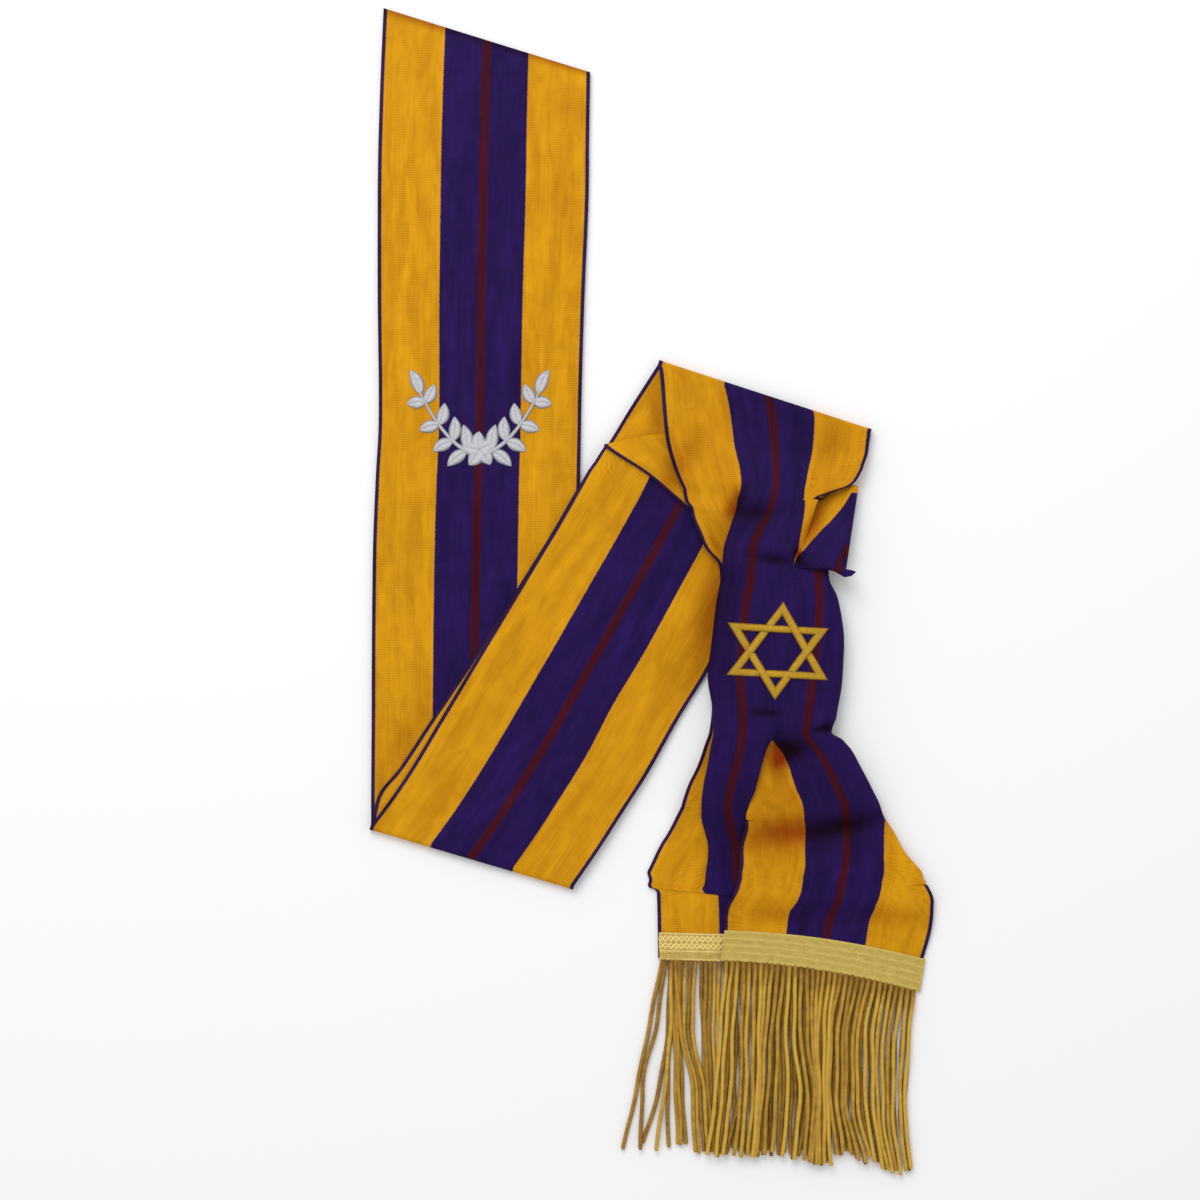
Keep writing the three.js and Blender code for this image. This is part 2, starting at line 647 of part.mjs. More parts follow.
const sash = new THREE.Group();
const star = solid('star', starGeometry(), goldThread);
star.rotation.z = radians(starTurn);
star.position.set(starX, starY, knotTop + wall / 2 + gap);
const spray = solid('leaf_spray', sprayGeometry(), whiteThread);
spray.position.set(sprayX, sprayY, layer(1) + wall / 2 + gap);

sash.add(
  solid('front_ribbon', frontRibbonGeometry(), satin),
  solid('back_ribbon', backRibbonGeometry(), goldSatin),
  star,
  spray,
  solid('left_braid', bandGeometry(leftBraidRows, wall), paleGold),
  solid('right_braid', bandGeometry(rightBraidRows, wall), paleGold),
  solid('left_fringe', fringeGeometry(leftFringeHead, leftTips, () => floorLock), cordGold),
  solid('right_fringe', fringeGeometry(rightFringeHead, rightTips, tipHeight), cordGold),
);

export default sash;
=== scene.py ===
import math
import random
from bisect import bisect_right

import bpy
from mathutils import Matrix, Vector


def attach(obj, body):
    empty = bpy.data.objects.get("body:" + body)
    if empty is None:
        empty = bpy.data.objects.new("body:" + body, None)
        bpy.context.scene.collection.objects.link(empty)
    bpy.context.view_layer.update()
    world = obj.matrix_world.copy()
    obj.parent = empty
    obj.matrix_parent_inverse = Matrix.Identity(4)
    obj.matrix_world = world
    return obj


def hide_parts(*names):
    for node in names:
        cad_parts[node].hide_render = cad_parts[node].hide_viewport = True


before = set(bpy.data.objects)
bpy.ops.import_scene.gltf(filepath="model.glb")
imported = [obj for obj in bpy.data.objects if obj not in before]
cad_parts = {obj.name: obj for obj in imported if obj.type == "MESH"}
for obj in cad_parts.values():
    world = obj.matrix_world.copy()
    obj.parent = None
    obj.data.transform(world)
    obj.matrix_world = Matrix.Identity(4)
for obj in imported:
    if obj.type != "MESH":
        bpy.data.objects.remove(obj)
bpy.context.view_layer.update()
bpy.ops.object.select_all(action="DESELECT")
random.seed(11)
print("frame loaded")

mm = 0.001  # tables below are in millimetres, Blender works in metres


def table(heading, rows, **others):  # a dictionary for each row, with the values that all rows share
    names = heading.split()
    return [{**dict(zip(names, row)), **others} for row in rows]


def towards(degrees):  # unit vector that way in the plan
    return Vector((math.cos(math.radians(degrees)), math.sin(math.radians(degrees)), 0))


def leftOf(way):
    return Vector((-way.y, way.x, 0))


def smoothStep(low, high, value):
    share = min(1.0, max(0.0, (value - low) / (high - low)))
    return share * share * (3 - 2 * share)


def smoothLine(marks, values):  # curve through the values that never overshoots them
    steps = [after - before for before, after in zip(marks, marks[1:])]
    rises = [(after - before) / step for before, after, step in zip(values, values[1:], steps)]
    slopes = [rises[0]]
    for left, right in zip(rises, rises[1:]):
        slopes.append(0.0 if left * right <= 0 else 2 * left * right / (left + right))
    slopes.append(rises[-1])

    def at(place):
        index = min(max(bisect_right(marks, place) - 1, 0), len(steps) - 1)
        share = (place - marks[index]) / steps[index]
        rest = 1 - share
        start = values[index] * (1 + 2 * share) + slopes[index] * steps[index] * share
        end = values[index + 1] * (3 - 2 * share) - slopes[index + 1] * steps[index] * rest
        return start * rest * rest + end * share * share

    return at


def mapPlaces(mesh, places, mapName):
    layer = mesh.uv_layers.new(name=mapName)
    for loop in mesh.loops:
        layer.data[loop.index].uv = places[loop.vertex_index]


def meshPiece(name, points, faces, places, mapName, tones=None):
    mesh = bpy.data.meshes.new(name)
    mesh.from_pydata([[value * mm for value in point] for point in points], [], faces)
    mapPlaces(mesh, places, mapName)
    # tone: painted shade on the cloth; on the cords, painted shade with the random tone of each cord
    if tones:
        mesh.attributes.new("tone", "FLOAT", "POINT").data.foreach_set("value", tones)
    piece = bpy.data.objects.new(name, mesh)
    bpy.context.scene.collection.objects.link(piece)
    return piece


def stripFaces(rows, columns, closed, start=0):  # quads between rows of points
    faces = []
    for first in range(start, start + (rows - 1) * columns, columns):
        for column in range(columns if closed else columns - 1):
            one, two = first + column, first + (column + 1) % columns
            faces.append((one, one + columns, two + columns, two))
    return faces


def choose(piece):
    bpy.ops.object.select_all(action="DESELECT")
    piece.select_set(True)
    bpy.context.view_layer.objects.active = piece


def joined(pieces, name):
    choose(pieces[0])
    for piece in pieces:
        piece.select_set(True)
    bpy.ops.object.join()
    made = bpy.context.view_layer.objects.active
    made.name = name
    made.data.name = name
    return made


smoothUpTo = math.radians(50)  # sharper edges stay sharp


def finished(piece, material, cadNode):
    choose(piece)
    bpy.ops.object.shade_smooth_by_angle(angle=smoothUpTo)
    piece.data.materials.append(material)
    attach(piece, "root")
    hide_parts(cadNode)


# Materials

def newMaterial(name, colour, roughness, gloss=0.5, sheen=0.0):
    made = bpy.data.materials.new(name)
    made.use_nodes = True
    shader = made.node_tree.nodes["Principled BSDF"]
    shader.inputs["Base Color"].default_value = (*colour, 1)
    shader.inputs["Roughness"].default_value = roughness
    shader.inputs["Specular IOR Level"].default_value = gloss
    shader.inputs["Sheen Weight"].default_value = sheen
    made.diffuse_color = (*colour, 1)
    return made, made.node_tree, shader


def node(tree, kind, settings=None, **inputs):
    made = tree.nodes.new("ShaderNode" + kind)
    for name, value in (settings or {}).items():
        setattr(made, name, value)
    for name, value in inputs.items():
        socket = made.inputs[int(name[1:]) if name[1:].isdigit() else name]  # i0 is the first one
        if isinstance(value, bpy.types.NodeSocket):
            tree.links.new(value, socket)
        else:
            socket.default_value = value
    return made


def calc(tree, operation, first, second=0.0, third=0.0):
    settings = {"operation": operation}
    return node(tree, "Math", settings, i0=first, i1=second, i2=third).outputs[0]


def times(tree, first, second):
    return calc(tree, "MULTIPLY", first, second)


def fit(tree, value, scale, shift):
    return calc(tree, "MULTIPLY_ADD", value, scale, shift)


def wave(tree, value, length):
    return calc(tree, "SINE", times(tree, value, 2 * math.pi / length))


def ridges(tree, value, length):  # the same wave between 0 and 1
    return fit(tree, wave(tree, value, length), 0.5, 0.5)


def ramp(tree, factor, stops):
    made = node(tree, "ValToRGB", i0=factor)
    scale = made.color_ramp
    while len(scale.elements) < len(stops):
        scale.elements.new(1)
    for element, (place, colour) in zip(scale.elements, stops):
        element.position = place
        element.color = (*colour, 1)
    return made.outputs[0]


def fade(tree, factor, low, high):
    return ramp(tree, factor, [(low, (0, 0, 0)), (high, (1, 1, 1))])


def blend(tree, factor, first, second, way="MIX"):
    settings = {"data_type": "RGBA", "blend_type": way}
    return node(tree, "Mix", settings, i0=factor, i6=first, i7=second).outputs[2]


def onMap(tree, mapName):
    return node(tree, "UVMap", {"uv_map": mapName}).outputs[0]


def mapParts(tree, mapName):
    parts = node(tree, "SeparateXYZ", Vector=onMap(tree, mapName))
    return parts.outputs[0], parts.outputs[1]


def ownValue(tree, name):
    return node(tree, "Attribute", {"attribute_name": name}).outputs["Fac"]


def noise(tree, vector, scale, detail=2.0, roughness=0.5, distortion=0.0):
    return node(
        tree, "TexNoise", Vector=vector, Scale=scale, Detail=detail,
        Roughness=roughness, Distortion=distortion,
    ).outputs[0]


def flecks(tree, mapName, stretch, *others):  # noise with its own scale along and across the map
    place = node(tree, "Mapping", Vector=onMap(tree, mapName), Scale=stretch).outputs[0]
    return noise(tree, place, 1.0, *others)


def bumped(tree, shader, height, strength, distance):
    made = node(tree, "Bump", Height=height, Strength=strength, Distance=distance)
    tree.links.new(made.outputs[0], shader.inputs["Normal"])


silk = {
    "redHalf": 2.1, "purpleHalf": 20.2, "edgeFrom": 48.2, "half": 50.0,  # mm from the middle
    "ribPitch": 1.15, "loopPitch": 1.3, "loopRise": 0.8, "blur": 0.22, "fraying": 0.5,
    "roughness": 0.55, "gloss": 0.04, "relief": (0.35, 0.00012), "shade": (0.40, 0.11, 0.08),
    "fray": ((0.02, 0.9, 1), 1.0),  # stretch, detail, roughness and distortion of each noise
    "water": ((0.12, 0.022, 1), 3.0, 0.55, 0.7), "streak": ((0.7, 0.035, 1), 2.0, 0.5, 0.3),
    "patches": ((0.16, 0.10, 1), 1.0, 0.5, 0.4), "patchFade": (0.40, 0.62),
    "waterShare": 0.9, "streakShare": 0.35, "ribShare": -0.22, "toneFade": (0.36, 0.82),
    "dark": {"red": (0.042, 0.0035, 0.010), "purple": (0.013, 0.0048, 0.050),
             "yellow": (0.50, 0.212, 0.004), "edge": (0.016, 0.006, 0.030)},
    "light": {"red": (0.066, 0.0060, 0.015), "purple": (0.024, 0.0085, 0.092),
              "yellow": (0.70, 0.330, 0.007), "edge": (0.040, 0.015, 0.070)},
}


def stripeStops(tones):
    half, blur = silk["half"], silk["blur"]
    stops = [(0, tones["red"])]
    colours = ["red", "purple", "yellow", "edge"]
    for place, inner, outer in zip(("redHalf", "purpleHalf", "edgeFrom"), colours, colours[1:]):
        stops.append(((silk[place] - blur) / half, tones[inner]))
        stops.append(((silk[place] + blur) / half, tones[outer]))
    return stops


def silkMaterial():
    made, tree, shader = newMaterial(
        "stripedSilk", silk["light"]["yellow"], silk["roughness"], silk["gloss"])
    across, along = mapParts(tree, "cloth")
    frayed = flecks(tree, "cloth", *silk["fray"])
    wander = fit(tree, frayed, silk["fraying"], -silk["fraying"] / 2)
    share = calc(tree, "DIVIDE", calc(tree, "ADD", calc(tree, "ABSOLUTE", across), wander), silk["half"])
    darkTone = ramp(tree, share, stripeStops(silk["dark"]))
    lightTone = ramp(tree, share, stripeStops(silk["light"]))
    water, streak, patches = (
        flecks(tree, "cloth", *silk[name]) for name in ("water", "streak", "patches"))
    ribs = ridges(tree, along, silk["ribPitch"])
    seen = times(tree, ribs, fade(tree, patches, *silk["patchFade"]))
    tone = fit(tree, streak, silk["streakShare"], times(tree, water, silk["waterShare"]))
    tone = fit(tree, seen, silk["ribShare"], tone)
    colour = blend(tree, fade(tree, tone, *silk["toneFade"]), darkTone, lightTone)
    # painted shade: the tone attribute darkens the silk towards its shade colour
    shaded = blend(tree, 1.0, colour, (*silk["shade"], 1), "MULTIPLY")
    colour = blend(tree, ownValue(tree, "tone"), colour, shaded)
    tree.links.new(colour, shader.inputs["Base Color"])
    onEdge = calc(tree, "GREATER_THAN", share, silk["edgeFrom"] / silk["half"])
    loops = times(tree, wave(tree, along, silk["loopPitch"]), onEdge)
    bumped(tree, shader, fit(tree, loops, silk["loopRise"], ribs), *silk["relief"])
    return made


stripedSilk = silkMaterial()
print("silk mixed")


# The cloth, laid out in rows across the ribbon

cloth = {
    "width": 100, "half": 50, "pitch": 1.3, "wall": 1,
    "thickness": 0.6, "edgeThickness": 1, "edgeFrom": 47.6, "edgeFull": 48.4, "shoulderShade": 0.7,
    "backRadius": 0.65, "shortestLeg": 0.8,
    "lowest": 0.5, "hollowFull": 7,  # hollows have their whole depth in cloth at least this high
    "tightCrease": 0.65, "wideCrease": 1.95, "looseCrease": 3, "creaseSteps": 7,
    "limbEdgeX": -33, "drapeRun": 60, "ripple": 0.09,
    "ripples": ((17, 29, 0), (31, -13, 1.3), (math.inf, 41, 0.4)),  # length in x, in y, and start
    "legSteps": {"start": 11, "bend": 9, "depth": 3, "backBend": 5, "rest": 8},
}
faceUp, faceDown = Vector((0, 0, 1)), Vector((0, 0, -1))

limbHeading = "x1 y1 x2 y2"
leftLimb = table(limbHeading, [  # both edges, from the shoulder seam down
    (-129.6, 282, -29.6, 251), (-131.5, 237.8, -30.1, 216), (-132.5, 189.3, -30.6, 182),
    (-132.5, 140.8, -32.5, 136.9), (-132, 82.5, -34, 80.1), (-133.5, 53.4, -34.5, 50),
    (-134.9, 14.6, -34.9, 7.3), (-135.4, -53.4, -36.4, -70.4), (-135.7, -113.7, -37.2, -142.8),
], bow=0)
secondLimb = table(limbHeading, [  # from the lower left corner up
    (-135.7, -113.7, -37.2, -142.8), (-126.2, -101, -25.7, -126.2), (-117, -87.4, -14.1, -108.2),
    (-102.4, -63.1, -0.5, -87.1), (-87.9, -38.8, 13.1, -62.6), (-73.3, -14.6, 25.7, -38.8),
    (-58.7, 9.7, 38.8, -13.1), (-46.1, 30.6, 49.5, 7.3), (-34.5, 51, 60.2, 27.7),
], bow=0)
lowerPeek = table("y shift", [  # how far the lower ribbon's edge shows beside the second limb
    (-113.7, 0), (-109.4, 8.3), (-101, 6.3), (-87.4, 5.2), (-63.1, 3.9), (-38.8, 2.3), (-14.6, 1.2),
    (9.7, 0.6), (51, 0.2), (68, 0), (109.3, 0),
])
frontLimbTop = table(limbHeading, [
    (-22.8, 68, 72.3, 42.7), (-10.2, 88.3, 88.3, 59.7), (3.2, 109.3, 105.6, 76),
], bow=0)
backLimbTop = table(limbHeading + " bow", [
    (-28.7, 60.5, 70, 45, 3.5), (-22.8, 69.4, 90, 63.5, 9.7),
])
backCrossing = table(limbHeading + " bow", [
    (-22.8, 69.4, 90, 63.5, 9.7), (-1, 55.3, 87.9, 62.1, 5), (19.4, 38.3, 92.2, 59.2, 2),
    (45.6, 21.8, 94.1, 56.3, 0),
])

flat = (0.7, 0, 50)  # radius, turn and edge of a half that isn't folded under
halves = " fold1 radius1 turn1 edge1 fold2 radius2 turn2 edge2"
level = {"tip": 0, "bow": 0, "droop": 0}
limbHalves = dict(zip(halves.split(), (27, *flat, 27, *flat)))
frontHeading = "x y z lean stretch" + halves
frontGather = table(frontHeading, [
    (56.9, 91.8, 4.4, -18, 1.145, 25, *flat, 25, *flat),
    (57.7, 88.4, 4.4, -15.3, 1.085, 25, *flat, 25, *flat),
    (58.9, 81.2, 4.4, -9.2, 1.035, 25, *flat, 27, *flat),
    (59.6, 69.4, 5.2, -4.4, 0.97, 24, *flat, 32, *flat),
    (60.2, 59.2, 7.2, 0, 0.91, 22, 0.7, 14, 49.9, 36, *flat),
    (60.3, 53.4, 8.4, 0, 0.89, 21, 0.7, 28, 49.7, 40, *flat),
    (60.1, 50.5, 9, 0, 0.88, 20.5, 0.7, 42, 49.4, 42, *flat),
    (59.8, 48.5, 9.4, 0, 0.87, 20, 0.7, 62, 48.8, 42, *flat),
    (59.4, 46.3, 9.75, 0, 0.87, 19.5, 0.7, 88, 47.8, 42, *flat),
    (58.9, 44.15, 10.05, 0, 0.87, 19.2, 0.7, 112, 46.6, 38, *flat),
    (58.8, 43.85, 10.1, 0, 0.87, 19.1, 0.7, 115, 46.4, 28.2, 0.7, 180, 27.2),
    (57.2, 38.3, 10.3, 0, 0.88, 18.6, 0.9, 180, 43.4, 25.5, 0.7, 180, 24.6),
    (51.5, 28, 11, 0, 0.94, 15, 1.6, 180, 30.6, 23.7, 0.8, 180, 22.8),
    (48.5, 18.9, 12, 0, 1, 13.6, 2.6, 180, 21.3, 21.6, 0.6, 180, 20.6),
    (48.1, 12.1, 12.2, 0, 1, 13.8, 3.2, 180, 15.4, 20, 0.4, 180, 19),
    (47.6, 4.9, 12.2, 0, 1, 14.1, 3.6, 180, 14.2, 17, 0.35, 180, 16),
    (45.2, -7.3, 12.2, 0, 1, 13.9, 3.6, 180, 13.6, 17.4, 0.35, 180, 16),
    (43.8, -24.3, 12.2, 0, 1, 14.5, 3.6, 180, 14.2, 17.8, 0.35, 180, 16),
    (42.5, -42.2, 12.2, 0, 1, 15.1, 3.6, 180, 14.8, 18.1, 0.35, 180, 17),
    (43.7, -57.3, 12.2, 0, 1, 14.1, 3.6, 180, 14.4, 16.6, 0.35, 180, 15.6),
    (43.7, -68, 12, 0, 1, 13.6, 3, 180, 15.6, 16.2, 0.5, 180, 15.2),
    (42.8, -75.5, 11.2, 0, 1, 14, 2.5, 180, 17.2, 12.8, 0.7, 180, 11.8),
    (41.4, -83.5, 10.2, 0, 1, 13.9, 2, 180, 18.5, 11.7, 0.8, 180, 10.7),
    (38.2, -95.6, 8.4, 0, 1, 13, 1.1, 180, 20.9, 11.9, 0.8, 180, 10.9),
    (37.1, -104, 6.8, 0, 1, 12.6, 0.9, 180, 22.4, 9.7, 0.7, 180, 9),
    (37.4, -109.2, 5.2, 0, 1, 12.9, 0.8, 180, 25, 8.8, 0.7, 180, 8.2),
    (38.2, -113, 4.3, 0, 1, 13.1, 0.8, 180, 27.6, 9.5, 0.7, 180, 9),
    (39.2, -117, 3.7, 0, 1, 12.9, 0.7, 180, 30.7, 30, 0.7, 180, 29),
    (40.8, -124.3, 3.45, -2, 1, 13, 0.7, 180, 36.1, 42, *flat),
    (41.6, -138.8, 2.9, -4, 1, 15, 0.7, 180, 43.2, 40, *flat),
    (42.6, -145, 1.9, -5, 0.92, 17.6, 0.7, 90, 47, 40, *flat),
    (43.6, -148.3, 1.3, -6, 0.9, 20, *flat, 40, *flat),
], **level)
# How far each band of the ribbon is drawn in: purple and yellow on side 1, then on side 2
bandHeading = "y inner1 outer1 inner2 outer2"
limbBands = table(bandHeading, [
    (-200, 1, 1, 1, 1), (-78, 1, 1, 0.98, 1.01), (-50.7, 1, 1, 0.93, 1.05),
    (-26.7, 1, 1, 0.98, 1.075), (-2, 1, 1, 1, 1.03), (30, 1, 1, 1, 1), (300, 1, 1, 1, 1),
])
frontBands = table(bandHeading, [
    (-200, 1, 1, 1, 1), (8, 1, 1, 1, 1), (14.6, 1, 1, 1.02, 1), (20.6, 1, 1, 1.1, 1),
    (28, 1, 1, 1.08, 1), (38.3, 1, 1, 0.93, 1), (43.85, 1, 1.10, 0.865, 1),
    (44.15, 1, 1.095, 0.86, 0.14), (46.3, 0.97, 1.12, 0.83, 0.34), (48.5, 0.96, 1.11, 0.81, 0.60),
    (50.5, 0.95, 1.12, 0.80, 0.82), (53.4, 0.945, 1.155, 0.81, 0.91), (59.2, 0.955, 1.185, 0.86, 0.965),
    (69.4, 1, 1.155, 0.94, 0.92), (81.2, 1, 1.085, 0.97, 0.875), (88.4, 1, 1.035, 1, 0.86),
    (91.8, 0.985, 0.985, 1, 0.826), (300, 0.985, 0.985, 1, 0.826),
])
backBands = table(bandHeading, [
    (-200, 0.95, 0.93, 0.97, 0.95), (-176, 0.95, 0.94, 0.97, 0.96),
    (-171.4, 0.95, 0.965, 0.97, 1.01), (-160.2, 0.93, 1.02, 1, 1.04),
    (-150, 0.92, 0.935, 0.95, 1.06), (-146.3, 0.95, 0.875, 0.93, 1.06),
    (-141.8, 0.96, 0.76, 0.93, 1.05), (-140.6, 0.96, 0.72, 0.94, 1.05),
    (-140.4, 0.95, 0.93, 0.94, 1.05), (-138, 0.95, 0.93, 0.95, 1.06), (-134.5, 0.93, 1, 0.96, 1.06),
    (-126.2, 0.885, 1, 1, 1.06), (-116.5, 0.885, 1, 0.99, 0.99), (-111.4, 0.92, 1, 1, 0.965),
    (-111.2, 0.92, 1, 1, 1.025), (-110, 0.93, 1, 1, 1.03), (-104.8, 1, 1, 1, 1.01),
    (-96.6, 1, 1, 1, 1), (-90, 1, 1, 0.96, 1), (-85.4, 1, 1, 0.91, 1), (-77.7, 1, 1, 0.87, 1),
    (-72.3, 1, 1, 0.90, 1), (-66, 1, 1, 1, 1), (300, 1, 1, 1, 1),
])
frontWall = table(frontHeading, [
    (44.8, -148.7, 1.15, -6, 0.91, 20, *flat, 40, *flat),
    (47.8, -148.5, 0.95, -5, 0.94, 20, *flat, 40, *flat),
    (51, -148.6, 0.7, -4, 0.98, 22, *flat, 36, *flat),
    (52.7, -149.2, 0.5, -3, 1, 24, *flat, 30, *flat),
], **level)
frontTailEnd = table(frontHeading, [
    (52.7, -149.4, 0.5, -3, 1, 24, *flat, 30, *flat),
    (53, -157, 0.5, -2, 1, 25, *flat, 30, *flat),
    (53.2, -166.4, 0.5, -1.5, 1, 25, *flat, 30, *flat),
    (53.4, -179.6, 0.5, -1.5, 1, 25, *flat, 30, *flat),
], **level)
backHeading = "x y z lean tip stretch" + halves
backUnder = table(backHeading, [
    (70.4, 38.4, 2.8, 36, 0, 0.6, 43.6, 0.7, 180, 44.1, 43.6, 0.7, 180, 44.1),
    (80.1, 27.2, 0.8, 59, 0, 1, 17, 0.7, 180, 16, 30, 0.7, 180, 29),
    (92, 19, 4.9, 81, -10, 1.43, 6.3, 0.7, 180, 5.3, 22.6, 0.7, 180, 21),
], bow=0, droop=0)
backFlap = table(backHeading, [
    (92, 19, 10.9, 81, -10, 1.43, 6.3, 0.7, 180, 5.3, 22.6, 0.7, 180, 21),
    (91.8, 18.2, 11.3, 85, -12, 1.22, 6.5, 0.7, 180, 5.5, 26.4, 0.7, 180, 24.9),
    (91.5, 17, 11.8, 95, -14, 1.02, 6.8, 0.7, 180, 5.8, 31.5, 0.7, 180, 29.8),
    (91, 15.2, 12.5, 109, -15, 0.91, 6.6, 0.7, 180, 5.6, 33.5, 0.7, 180, 31.5),
    (90.4, 13, 13.3, 126, -11, 0.88, 5.6, 0.7, 180, 4.6, 27, 0.7, 180, 25.5),
    (89.6, 10.4, 13.8, 142, -7, 0.91, 4.8, 0.7, 180, 3.8, 23, 0.7, 180, 21.7),
    (88.6, 8.6, 14, 152, -3, 0.96, 4.6, 0.7, 180, 3.6, 20.3, 0.7, 180, 19),
    (88.5, 9, 13.9, 163, -3, 0.985, 7.5, 0.7, 180, 6.5, 19.5, 0.7, 180, 18.2),
    (88.6, 9.6, 13.6, 176, -2, 0.985, 9.6, 0.7, 180, 8.6, 18, 0.7, 180, 16.8),
], bow=0, droop=0)
backWall = table(backHeading, [
    (87.5, 10, 13, 176, -2, 0.985, 8.5, 0.7, 180, 7.5, 17.5, 0.7, 180, 16.3),
    (84.5, 11.2, 12.4, 174, -1, 1, 6, 0.9, 180, 5, 15.5, 0.6, 180, 14.4),
    (80.3, 12.3, 11.8, 172, 0, 1, 4.6, 1.2, 180, 3.8, 12.5, 0.5, 180, 11.5),
], bow=0, droop=0)
backGather = table("x y z lean tip stretch bow droop" + halves, [
    (80.3, 12.1, 11.8, 172, 0, 1, 0, 0, 4.6, 1.2, 180, 3.8, 12.5, 0.5, 180, 11.5),
    (80.1, 5.8, 12.1, 176, 0, 1, 0, 0, 5.3, 2.4, 180, 4.5, 15, 0.4, 180, 14),
    (80.9, -2.9, 12.2, 179, 0, 1, 0, 0, 8.4, 3.2, 180, 7.6, 18.6, 0.35, 180, 17.6),
    (80.3, -17, 12.2, 180, 0, 1, 0, 0, 11.8, 3.6, 180, 10.8, 18.9, 0.35, 180, 17.9),
    (78.8, -29.1, 12.2, 180, 0, 1, 0, 0, 13.8, 3.6, 180, 12.6, 18, 0.35, 180, 17),
    (77.2, -46.1, 12.2, 180, 0, 1, 0, 0, 14.3, 3.6, 180, 13.1, 17.1, 0.35, 180, 16),
    (75.2, -60.7, 12.2, 180, 0, 1, 0, 0, 13.8, 3.6, 180, 12.6, 16.6, 0.35, 180, 15.6),
    (74.2, -68.8, 11.2, 180, -2, 0.88, 0, 0, 14.2, 3.4, 180, 13, 20.5, 0.5, 180, 19),
    (76, -72.3, 10.7, 180, -4, 0.97, 0, 0, 16.7, 3.2, 180, 15.5, 27, 0.6, 180, 26),
    (80.2, -77.7, 9.9, 180, -5, 1, 0, 0, 16.5, 3, 180, 15.5, 32, 0.8, 180, 31),
    (84.9, -85.4, 9.2, 180, -5, 1, 0, 0, 16, 2.6, 180, 15, 37.5, 0.8, 180, 36.5),
    (90.3, -96.6, 8.4, 180, -4.5, 1, 0, 0, 16.4, 2.2, 180, 15.4, 42.6, 0.7, 180, 41.5),
    (93.5, -104.8, 8, 180, -3, 1, 0, 0.4, 17, 1.8, 180, 16, 46.8, 0.7, 180, 45.8),
    (94, -110, 7.4, 180, -1, 1, 0, 0.7, 19.8, 1.5, 180, 18.8, 47.2, 0.7, 180, 46.2),
    (94.1, -111.2, 7.25, 180, -0.7, 1, 0, 0.75, 20.8, 1.4, 180, 19.8, 47.3, 0.7, 180, 46.3),
    (94.1, -111.4, 7.2, 180, -0.7, 1, 0, 0.76, 20.9, 1.4, 180, 19.9, 44, *flat),
    (94.5, -116.5, 6.6, 179, 0, 1, 0, 0.9, 24.8, 1.2, 180, 23.8, 42, *flat),
    (94.5, -126.2, 5.8, 179, 0, 1, 0, 1.2, 30.2, 0.8, 180, 29.2, 40, *flat),
    (93.7, -134.5, 5.4, 178, 0, 1, 0, 1.4, 38, 0.7, 180, 37, 40, *flat),
    (92.9, -138, 5.3, 177.5, 0, 1, 0.2, 1.5, 41.2, 0.7, 180, 40.2, 40, *flat),
    (92.3, -140.4, 5.25, 177.3, 0, 1, 0.35, 1.55, 43.4, 0.7, 180, 42.4, 40, *flat),
    (92.3, -140.6, 5.25, 177.2, 0, 1, 0.37, 1.55, 38, *flat, 40, *flat),
    (92, -141.8, 5.2, 177, 0, 1, 0.5, 1.6, 38, *flat, 40, *flat),
    (91.2, -146.3, 5, 176.5, 0, 1, 0.8, 1.7, 36, *flat, 40, *flat),
    (90.2, -150, 4.8, 176, 0, 1, 1, 1.9, 36, *flat, 40, *flat),
    (86.6, -160.2, 4, 174, 0, 1, -2, 2.2, 36, *flat, 36, *flat),
    (84.4, -171.4, 3.1, 171.7, 0, 1, -3, 2.4, 30, *flat, 30, *flat),
    (82.6, -186, 3.1, 171, 0, 1, -3, 2.4, 30, *flat, 30, *flat),
])

